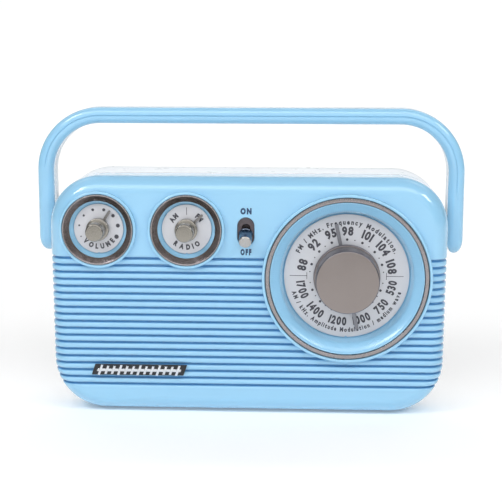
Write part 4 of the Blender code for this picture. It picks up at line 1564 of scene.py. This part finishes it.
@dataclass
class CarryHandle:
    """U-shaped handle in two halves, blue in front and white behind, on rivet pins under caps."""

    pivot_y: float
    pivot_z: float
    out: float
    top: float
    thick: float = 10.0
    deep: float = 20.0
    corner: float = 40.0
    reach: float = 10.0
    gap: float = 0.3
    seam: float = 0.5

    def stations(self) -> list[tuple[float, float, float, float, float]]:
        """Points up the right arm, over the top, down the left: x, z, direction, end scale, seam depth.

        Returns:
            The stations from the right arm's end to the left arm's end.
        """
        middle = self.out - self.thick / 2
        radius = self.corner - self.thick / 2
        top = self.top - self.thick / 2
        made = []
        for i in range(15):
            angle = math.radians(87 * (1 - i / 14))
            made.append((middle, self.pivot_z - self.reach * math.sin(angle), 0.0, math.cos(angle), 0.0))
        for z in (112, 122, 130, 135, 140, 145):
            made.append((middle, z, 0.0, 1.0, min(max((z - 132) / 10, 0.0), 1.0)))
        for i in range(25):
            angle = math.pi / 2 * i / 24
            made.append((middle - radius + radius * math.cos(angle),
                         top - radius + radius * math.sin(angle), angle, 1.0, 1.0))
        mirrored = []
        for x, z, angle, scale, seam in reversed(made):
            faded = min(max((z - 150) / 10, 0.0), 1.0) if x > middle - 0.1 else seam
            mirrored.append((-x, z, math.pi - angle, scale, faded))
        return made + mirrored

    def half(self, name: str, front: bool) -> bpy.types.Object:
        """Shape one half of the handle.

        Args:
            name: the piece's name.
            front: the blue front half, which carries the mould seam.

        Returns:
            The half, bored for its pins and caps.
        """
        across, along = self.thick / 2, self.deep / 2
        corner = 4.2 if front else 2.6
        side = -1 if front else 1
        section = [(across - 0.25, self.gap / 2, 0.0), (across, self.gap / 2 + 0.25, 0.0)]
        for i in range(9):
            angle = math.pi / 2 * i / 8
            section.append((across - corner * (1 - math.cos(angle)),
                            along - corner * (1 - math.sin(angle)), 0.0))
        section += [(0.3, along, 0.0), (0.13, along, self.seam if front else 0.0)]
        section += [(-u, v, w) for u, v, w in reversed(section)]
        rings = []
        for x, z, angle, scale, seam in self.stations():
            rings.append([(x + u * scale * math.cos(angle),
                           self.pivot_y + side * max((v - w * seam) * scale, self.gap / 2),
                           z + u * scale * math.sin(angle)) for u, v, w in section])
        made = solid(name, loft(rings), 50)
        bore = turned([(-140, 0), (-140, 5.9), (-132, 5.9), (-132, 3.3), (132, 3.3), (132, 5.9),
                       (140, 5.9), (140, 0)], 64)
        return carve(made, (('DIFFERENCE', moved(along_x(bore), (0, self.pivot_y, self.pivot_z))),), 50)

    def cap(self, name: str, side: int) -> bpy.types.Object:
        """Shallow domed cap over a pin.

        Args:
            name: the piece's name.
            side: 1 for the right arm, -1 for the left.

        Returns:
            The piece.
        """
        dome = [(132.3, 0), (132.3, 5.6), (133.0, 5.6), (133.35, 5.2), (133.6, 3.5), (133.7, 0)]
        profile = [(side * along, radius) for along, radius in dome]
        return solid(name, moved(along_x(turned(profile, 64)), (0, self.pivot_y, self.pivot_z)))

    def pin(self, name: str, side: int) -> bpy.types.Object:
        """Headed rivet pin from inside the case's wall into the arm.

        Args:
            name: the piece's name.
            side: 1 for the right arm, -1 for the left.

        Returns:
            The piece.
        """
        shape = rounded([(131.4, 0), (131.4, 3.0), (117.6, 3.0), (117.6, 5.5), (115.6, 5.5), (115.6, 0)],
                        {1: 0.3, 3: 0.2, 4: 0.5}, 4)
        profile = [(side * along, radius) for along, radius in shape]
        return solid(name, moved(along_x(turned(profile, 48)), (0, self.pivot_y, self.pivot_z)))

    def build_and_dress(self) -> None:
        """Make the handle's pieces and dress them."""
        put(self.half("handle_blue_half", True), "handle", SKY_ABS.make(), "sky_shell", "handle_front")
        put(self.half("handle_white_half", False), "handle", WHITE_ABS.make(), "white_shell", "handle_rear")
        for label, side in (("left", -1), ("right", 1)):
            put(self.cap("arm_cap_" + label, side), "handle", SKY_ABS.make(), "sky_shell",
                "handle_cap_" + label)
            put(self.pin("arm_pin_" + label, side), "case", STEEL_ZINC.make(), "steel",
                "handle_pin_" + label)


# ------------------------------------------------------------------ trim, back and inner pieces

@dataclass
class TrimBadge:
    """Slanted black trim plate with a bright bar crossed by leaning fins, on the ribs."""

    x: float
    z: float
    front: float
    fins: int = 13

    def slanted(self, half_length: float, half_height: float, y0: float, y1: float,
                ease: float) -> bmesh.types.BMesh:
        """Leaning bar with eased edges.

        Args:
            half_length: half length.
            half_height: half height.
            y0, y1: front and back faces.
            ease: size of the rounding on its edges.

        Returns:
            A closed bmesh.
        """
        lean = half_height * 0.35
        points = [(-half_length - lean, -half_height), (half_length - lean, -half_height),
                  (half_length + lean, half_height), (-half_length + lean, half_height)]
        return moved(prism(points, y0, y1, ease), (self.x, self.front, self.z))

    def build_and_dress(self) -> None:
        """Make the plate and the bar and dress them."""
        plate = solid("trim_plate", self.slanted(28.5, 3.4, -1.5, -0.3, 0.3))
        put(plate, "case", BLACK_ABS.make(), "black_plastic", "badge_plate")
        bar = solid("trim_bar", self.slanted(26.0, 0.9, -2.4, -1.5, 0.25))
        fins = []
        for i in range(self.fins):
            high = 2.6 if i % 3 else 3.2
            lean = high * 0.35
            away = 48.0 * (i / (self.fins - 1) - 0.5)
            points = [(away - 0.8 - lean, -high), (away + 0.8 - lean, -high),
                      (away + 0.8 + lean, high), (away - 0.8 + lean, high)]
            fins.append(('UNION', moved(prism(points, -2.6, -1.45, 0.2), (self.x, self.front, self.z))))
        put(carve(bar, fins), "case", CHROME.make(), "bright_metal", "badge_bar")


@dataclass
class BackFittings:
    """Battery door, case screws, sockets and feet."""

    shape: CaseShape
    bay: tuple[float, float, float, float]
    screws: tuple
    sockets: tuple
    thick: float = 2.2
    door_over: float = 2.7

    def door(self) -> bpy.types.Object:
        """Door with rounded corners, eased edges and a grip pocket near its top.

        Returns:
            The piece.
        """
        x0, x1, z0, z1 = self.bay
        over = self.door_over
        outline = rectangle(x0 - over, x1 + over, z0 - over, z1 + over, 1.8)
        middle_x, middle_z = (x0 + x1) / 2, (z0 + z1) / 2
        rings = []
        for y, inset in ((-self.thick, 0.0), (-0.35, 0.0), (-0.1, 0.1), (0.0, 0.35)):
            rings.append([(middle_x + (x - middle_x) * (1 - inset / 56), self.shape.back + y,
                           middle_z + (z - middle_z) * (1 - inset / 30)) for x, z in outline])
        made = solid("bay_door", loft(rings))
        pocket = []
        for y, grow in ((-1.0, -0.6), (-0.5, 0.0), (-0.1, 0.1), (0.02, 0.35), (1.0, 0.35)):
            mouth = rectangle(28 - grow, 44 + grow, z0 - over + 52 - grow, z0 - over + 56.5 + grow, 1.6)
            pocket.append([(x, self.shape.back + y, z) for x, z in mouth])
        return carve(made, (('DIFFERENCE', loft(pocket)),), 50)

    def screw(self, number: int, x: float, z: float) -> bpy.types.Object:
        """Pan-head screw with a cross recess.

        Args:
            number: the screw's number.
            x, z: its place on the back.

        Returns:
            The piece.
        """
        shape = [(self.shape.back - 0.6, 0), (self.shape.back - 0.75, 2.4), (self.shape.back - 1.3, 3.1),
                 (self.shape.back - 1.5, 1.5), (self.shape.parting + 1.0, 1.5),
                 (self.shape.parting + 1.0, 0)]
        made = solid("screw_%d" % number, moved(turned(shape, 40), (x, 0, z)))
        back = self.shape.back
        slots = [moved(block(-1.6, 1.6, back - 1.35, back + 1, -0.32, 0.32, 0.08), (x, 0, z), turn)
                 for turn in (0.4, 0.4 + math.pi / 2)]
        return carve(made, [('DIFFERENCE', slot) for slot in slots])

    def socket(self, name: str, x: float, z: float, rim: float, hole: float,
               deep: float) -> bpy.types.Object:
        """Round socket with an eased mouth; the wider one has a contact pin.

        Args:
            name: the piece's name.
            x, z: its place on the back.
            rim: outer radius.
            hole: radius of the hole.
            deep: depth of the hole.

        Returns:
            The piece.
        """
        back = self.shape.back
        shape = rounded([(back, rim), (back, hole), (back - deep, hole), (back - deep, 0),
                         (back - deep - 3, 0), (back - deep - 3, rim)], {0: 0.3, 1: 0.4, 5: 0.4}, 4)
        made = solid(name, moved(turned(shape, 56), (x, 0, z)))
        if hole > 2:
            stem = turned([(back - deep - 1, 0), (back - deep - 1, 0.9), (back - 2.4, 0.9),
                           (back - 2.0, 0.5), (back - 2.0, 0)], 20)
            carve(made, (('UNION', moved(stem, (x, 0, z))),))
        return made

    def foot(self, node: str) -> bpy.types.Object:
        """Round rubber pad with an eased rim and a shallow ring pressed in its sole.

        Args:
            node: the CAD node that it stands for.

        Returns:
            The piece.
        """
        low, high = (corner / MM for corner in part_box(node))
        middle = (low + high) / 2
        radius = (high.x - low.x) / 2
        shape = rounded([(0, 0), (0, radius - 2.4), (0.35, radius - 2.1), (0.35, radius - 1.5),
                         (0, radius - 1.2), (0, radius), (high.z, radius), (high.z, 0)], {5: 0.4}, 4)
        pad = moved(along_z(turned(shape, 48)), (middle.x, middle.y, 0))
        return solid(node.replace("foot", "rubber_pad"), pad)

    def build_and_dress(self) -> None:
        """Make the back's pieces and dress them."""
        put(self.door(), "battery_lid", WHITE_ABS.make(), "white_shell", "battery_door")
        for number, (x, z) in enumerate(self.screws, 1):
            put(self.screw(number, x, z), "case", STEEL_ZINC.make(), "steel", "case_screw_%d" % number)
            put(self.foot("foot_%d" % number), "case", RUBBER.make(), "rubber_foot", "foot_%d" % number)
        (x, z, radius), (phones_x, phones_z, phones_radius) = self.sockets
        inlet = self.socket("inlet_socket", x, z, radius - 0.3, 2.9, 9.0)
        put(inlet, "case", BLACK_ABS.make(), "black_plastic", "power_inlet")
        phones = self.socket("phones_socket", phones_x, phones_z, phones_radius - 0.3, 1.8, 10.0)
        put(phones, "case", BLACK_ABS.make(), "black_plastic", "earphone_socket")


@dataclass
class Aerial:
    """Forked swivel, tilting tube and two drawn sections, closed in the shelf."""

    x: float
    y: float
    z: float
    floor: float
    length: float = 158.0

    def tube(self, name: str, profile: Profile, radii: dict[int, float]) -> bpy.types.Object:
        """Turn a profile along the aerial's line; distances run from the swivel to the tip.

        Args:
            name: the piece's name.
            profile: (distance, radius) points.
            radii: rounding radius by corner number.

        Returns:
            The piece.
        """
        laid = [(self.x - along, radius) for along, radius in rounded(profile, radii, 4)]
        return solid(name, moved(along_x(turned(laid, 40)), (0, self.y, self.z)))

    def swivel(self) -> bpy.types.Object:
        """Round base with two rounded ears and a headed cross pin.

        Returns:
            The piece.
        """
        base = along_z(turned(rounded([(0, 0), (0, 4.4), (1.9, 4.4), (1.9, 0)], {1: 0.2, 2: 0.5}, 4), 56))
        made = solid("aerial_fork", moved(base, (self.x, self.y, self.floor)))
        ears = []
        for y0, y1 in ((-3.3, -1.9), (1.9, 3.3)):
            ear = [(-2.6, 1.2), (2.6, 1.2)]
            ear += [(2.6 * math.cos(math.pi * i / 14), 5.0 + 2.6 * math.sin(math.pi * i / 14))
                    for i in range(15)]
            ears.append(moved(prism(ear, y0, y1, 0.3), (self.x, self.y, self.floor)))
        pin = turned(rounded([(-3.6, 0), (-3.6, 1.3), (-3.2, 1.3), (-3.2, 0.8), (3.2, 0.8), (3.2, 1.3),
                              (3.6, 1.3), (3.6, 0)], {1: 0.2, 6: 0.2}, 3), 28)
        ears.append(moved(pin, (self.x, self.y, self.z)))
        return carve(made, [('UNION', ear) for ear in ears])

    def build_and_dress(self) -> None:
        """Make the aerial's pieces and dress them."""
        metal = STEEL_DRAWN.make()
        put(self.swivel(), "aerial_swivel", CHROME.make(), "bright_metal", "aerial_foot")
        end = self.length
        mast = self.tube("aerial_outer",
                         [(6.0, 0), (6.0, 3.0), (end, 3.0), (end, 2.55), (9.0, 2.55), (9.0, 0)],
                         {1: 0.6, 2: 0.2})
        nose = [(2.0 * math.sin(math.pi * i / 12), -2.0 * math.cos(math.pi * i / 12)) for i in range(1, 12)]
        flat = [(-7.0, -2.0), (0.0, -2.0)] + nose + [(0.0, 2.0), (-7.0, 2.0)]
        tongue = moved(prism(flat, -1.5, 1.5, 0.25), (self.x, self.y, self.z))
        bore = moved(turned([(-6, 0), (-6, 1.1), (6, 1.1), (6, 0)], 24), (self.x, self.y, self.z))
        carve(mast, (('UNION', tongue), ('DIFFERENCE', bore)))
        put(mast, "aerial_mast", metal, "bright_metal", "aerial_tube_1")
        start = end + 2.0
        inner = self.tube("aerial_inner", [(9.5, 2.2), (start, 2.2), (start, 1.7), (9.5, 1.7)], {1: 0.2})
        put(inner, "aerial_middle", metal, "bright_metal", "aerial_tube_2")
        rod = self.tube("aerial_rod", [(9.5, 0), (9.5, 1.3), (start + 0.3, 1.3), (start + 0.3, 2.6),
                                       (start + 1.5, 3.0), (start + 6.0, 3.0), (start + 7.0, 2.2),
                                       (start + 7.0, 0)], {3: 0.4, 4: 0.4, 5: 0.6, 6: 0.6})
        put(rod, "aerial_end", metal, "bright_metal", "aerial_tip")


@dataclass
class InnerPieces:
    """Materials and eased edges for the pieces that stay in the frame's own shape inside the case."""

    nodes: dict[str, bpy.types.Object]

    def build_and_dress(self) -> None:
        """Dress each inner piece with what the real one is made of."""
        finishes = {
            "speaker_frame": STEEL_ZINC, "speaker_cone": PAPER, "speaker_magnet": FERRITE,
            "main_board": BOARD, "radio_chip": BLACK_ABS, "ferrite_rod": FERRITE,
            "battery_contact_left": STEEL_ZINC, "battery_contact_right": STEEL_ZINC,
            "tuning_capacitor": WHITE_ABS, "volume_potentiometer": STEEL_ZINC,
            "band_switch": BLACK_ABS, "tuning_shaft": STEEL_ZINC, "volume_shaft": STEEL_ZINC,
            "band_shaft": STEEL_ZINC,
        }
        made: dict[str, bpy.types.Material] = {}
        for name, finish in finishes.items():
            node = self.nodes[name]
            made.setdefault(finish.name, finish.make())
            node.data.materials.clear()
            node.data.materials.append(made[finish.name])
            step = node.modifiers.new("eased_edges", 'BEVEL')
            step.width = 0.2 * MM
            step.segments = 2
            step.limit_method = 'ANGLE'
            step.angle_limit = math.radians(50)
            LOG.info("dressed %s", name)


@dataclass
class DryCell:
    """Round cell with a printed jacket, crimped ends and a raised cap."""

    node: str
    radius: float = 13.0
    cap: float = 3.2
    bare_top: float = 2.7
    band_long: float = 15.0

    def build_and_dress(self) -> None:
        """Make the cell where its CAD node stands, with the cap on the same end."""
        low, high = (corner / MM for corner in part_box(self.node))
        middle, half = (low + high) / 2, (high.x - low.x) / 2
        mesh = bpy.data.objects[self.node].data
        side = -self.wide_end(mesh, middle)
        radius = self.radius
        shape = rounded([(-half, 0), (-half, radius - 1.2), (-half + 0.5, radius), (half - 3.2, radius),
                         (half - 2.6, radius - 0.9), (half - 2.0, radius - 1.6),
                         (half - 2.0, self.cap + 1.8), (half - 1.9, self.cap), (half, self.cap),
                         (half, 0)], {1: 0.4, 3: 0.4, 4: 0.3, 8: 0.5}, 4)
        profile = [(side * along, across) for along, across in shape]
        made = solid(self.node.replace("battery", "dry"),
                     moved(along_x(turned(profile, 64)), tuple(middle)))
        jacket = PrintedInk("steel_jacket_black_lacquered", "202127", 0.3, 0.3)
        band = WorkedMetal("steel_jacket_copper_band", "B07A4C", 0.28, 1.0, pitch=0.8)
        put(made, "case", jacket.make(), "cell_jacket", self.node)
        made.data.materials.append(band.make())
        made.data.materials.append(STEEL_ZINC.make())
        for face in made.data.polygons:
            along = side * (face.center.x / MM - middle.x)
            if along > half - self.bare_top or along < 0.4 - half:
                face.material_index = 2
            elif along > half - self.band_long:
                face.material_index = 1

    def wide_end(self, mesh: bpy.types.Mesh, middle: Vector) -> int:
        """Which end the full-width jacket reaches: 1 for +X, -1 for -X.

        Args:
            mesh: the CAD node's mesh.
            middle: the middle of its box in millimetres.

        Returns:
            The end.
        """
        wide = [v.co.x / MM - middle.x for v in mesh.vertices
                if math.hypot(v.co.y / MM - middle.y, v.co.z / MM - middle.z) > self.radius * 0.8]
        return 1 if max(wide) > -min(wide) + 0.5 else -1


# ------------------------------------------------------------------ studio

@dataclass
class Studio:
    """Pale floor, soft overhead and side lights, and the camera."""

    place: Point = (0.03418, -0.77409, 0.23595)
    towards: Point = (-0.0423, 0.9836, -0.1753)
    lens: float = 89.39
    roll: float = 0.12
    low: float = 0.1
    high: float = 0.28

    def floor(self) -> None:
        """Wide pale floor that curves up far behind."""
        bm = bmesh.new()
        rows = [(-2.5, 0.0), (1.2, 0.0), (1.7, 0.07), (2.1, 0.28), (2.4, 0.7), (2.5, 1.6)]
        loops = [[bm.verts.new((x, y, z)) for x in (-3.0, 3.0)] for y, z in rows]
        for low, high in zip(loops, loops[1:]):
            bm.faces.new((low[0], low[1], high[1], high[0]))
        mesh = bpy.data.meshes.new("studio_floor")
        bm.to_mesh(mesh)
        bm.free()
        mesh.shade_smooth()
        made = bpy.data.objects.new("studio_floor", mesh)
        bpy.context.scene.collection.objects.link(made)
        paper = GrainedSolid("paper_white_seamless", "FFFFFF", 0.9, spacing=2.0, depth=0.02,
                             drift=0.005).make()
        shader = paper.node_tree.nodes["Principled BSDF"]
        shader.inputs["Emission Color"].default_value = linear("FFFFFF")
        shader.inputs["Emission Strength"].default_value = 0.12
        made.data.materials.append(paper)

    def light(self, name: str, place: Point, aim: Point, size: tuple[float, float],
              power: float) -> None:
        """Add a soft white rectangular light that points at a place.

        Args:
            name: the light's name.
            place: where it stands.
            aim: what it points at.
            size: width and height.
            power: watts.
        """
        lamp = bpy.data.lights.new(name, 'AREA')
        lamp.shape = 'RECTANGLE'
        lamp.size, lamp.size_y = size
        lamp.energy = power
        made = bpy.data.objects.new(name, lamp)
        bpy.context.scene.collection.objects.link(made)
        made.location = place
        made.rotation_euler = (Vector(aim) - Vector(place)).to_track_quat('-Z', 'Y').to_euler()

    def world(self) -> None:
        """White tent, brighter overhead than at the level of the floor."""
        world = bpy.data.worlds.new("studio_white")
        world.use_nodes = True
        back = world.node_tree.nodes["Background"]
        back.inputs["Color"].default_value = linear("FFFFFF")
        where = add_node(world.node_tree, "ShaderNodeTexCoord").outputs["Generated"]
        parts = add_node(world.node_tree, "ShaderNodeSeparateXYZ", {}, {0: where})
        rise = add_node(world.node_tree, "ShaderNodeMapRange",
                        {"From Min": -0.1, "From Max": 0.8, "To Min": self.low, "To Max": self.high},
                        {"Value": parts.outputs["Z"]})
        world.node_tree.links.new(rise.outputs["Result"], back.inputs["Strength"])
        bpy.context.scene.world = world

    def camera(self) -> None:
        """Set the camera."""
        lens = bpy.data.cameras.new("camera")
        lens.lens = self.lens
        lens.sensor_width = 36
        lens.clip_start = 0.01
        made = bpy.data.objects.new("camera", lens)
        bpy.context.scene.collection.objects.link(made)
        made.location = self.place
        turn = Vector(self.towards).to_track_quat('-Z', 'Y').to_matrix()
        made.rotation_euler = (turn @ Matrix.Rotation(math.radians(self.roll), 3, 'Z')).to_euler()
        bpy.context.scene.camera = made

    def build(self) -> None:
        """Set up floor, lights, surroundings and camera."""
        self.floor()
        self.world()
        self.camera()
        self.light("key_soft", (0.0, -1.2, 1.4), (0, 0, 0.08), (2.0, 0.9), 13.0)
        self.light("front_fill", (0.0, -2.0, 0.75), (0, 0, 0.1), (2.4, 1.2), 7.5)
        self.light("left_soft", (-0.63, -0.58, 0.76), (0, 0, 0.08), (0.24, 0.3), 2.4)
        self.light("right_soft", (0.81, -0.54, 0.73), (0, 0, 0.08), (0.24, 0.3), 2.4)
        self.light("backdrop_wash", (0.0, 0.9, 1.5), (0, 2.0, 0.2), (3.0, 0.6), 20.0)
        bpy.context.scene.view_settings.view_transform = 'Standard'


def main() -> None:
    """Load the frame, build every sub-assembly and report it."""
    logging.basicConfig(level=logging.INFO, format="%(name)s: %(message)s")
    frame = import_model()
    places = {joint["name"]: Vector(joint["pos_m"]) / MM for joint in frame["joints"] if joint.get("pos_m")}
    front_low, front_high = (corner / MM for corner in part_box("front_shell"))
    rear_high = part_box("rear_shell")[1] / MM
    tuning, volume, band = places["tuning_turn"], places["volume_turn"], places["band_turn"]
    front = tuning.y
    shape = CaseShape(front, rear_high.y, front_low.z, front_high.z, front_high.y + 0.15)
    toggle, hinge = places["power_toggle"], places["handle_swing"]
    lips = [RoundLip(tuning.x, tuning.z, 50.0, 51.8, 3.5), RoundLip(volume.x, volume.z, 21.8, 23.5, 3.0),
            RoundLip(band.x, band.z, 21.8, 23.5, 3.0)]
    cover = FrontMoulding(shape, lips, toggle.x, toggle.z)
    cover.dress(cover.build())
    back = BackMoulding(shape, hinge.y, hinge.z)
    back.dress(back.build())
    TuningDial(tuning).build_and_dress()
    SmallDial(volume, SmallMarks.VOLUME, "volume", 33.0).build_and_dress()
    SmallDial(band, SmallMarks.BAND, "band", 47.0).build_and_dress()
    ToggleSwitch(toggle, front).build_and_dress()
    handle_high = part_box("handle_front")[1] / MM
    CarryHandle(hinge.y, hinge.z, handle_high.x, handle_high.z).build_and_dress()
    plate_low, plate_high = (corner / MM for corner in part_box("badge_plate"))
    TrimBadge((plate_low.x + plate_high.x) / 2, (plate_low.z + plate_high.z) / 2, front).build_and_dress()
    BackFittings(shape, back.bay, back.screws, back.sockets).build_and_dress()
    tilt = places["aerial_tilt"]
    Aerial(tilt.x, tilt.y, tilt.z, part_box("aerial_foot")[0].z / MM).build_and_dress()
    for number in range(1, 5):
        DryCell("battery_cell_%d" % number).build_and_dress()
    InnerPieces(frame["nodes"]).build_and_dress()
    Studio().build()


if __name__ == "__main__":
    main()
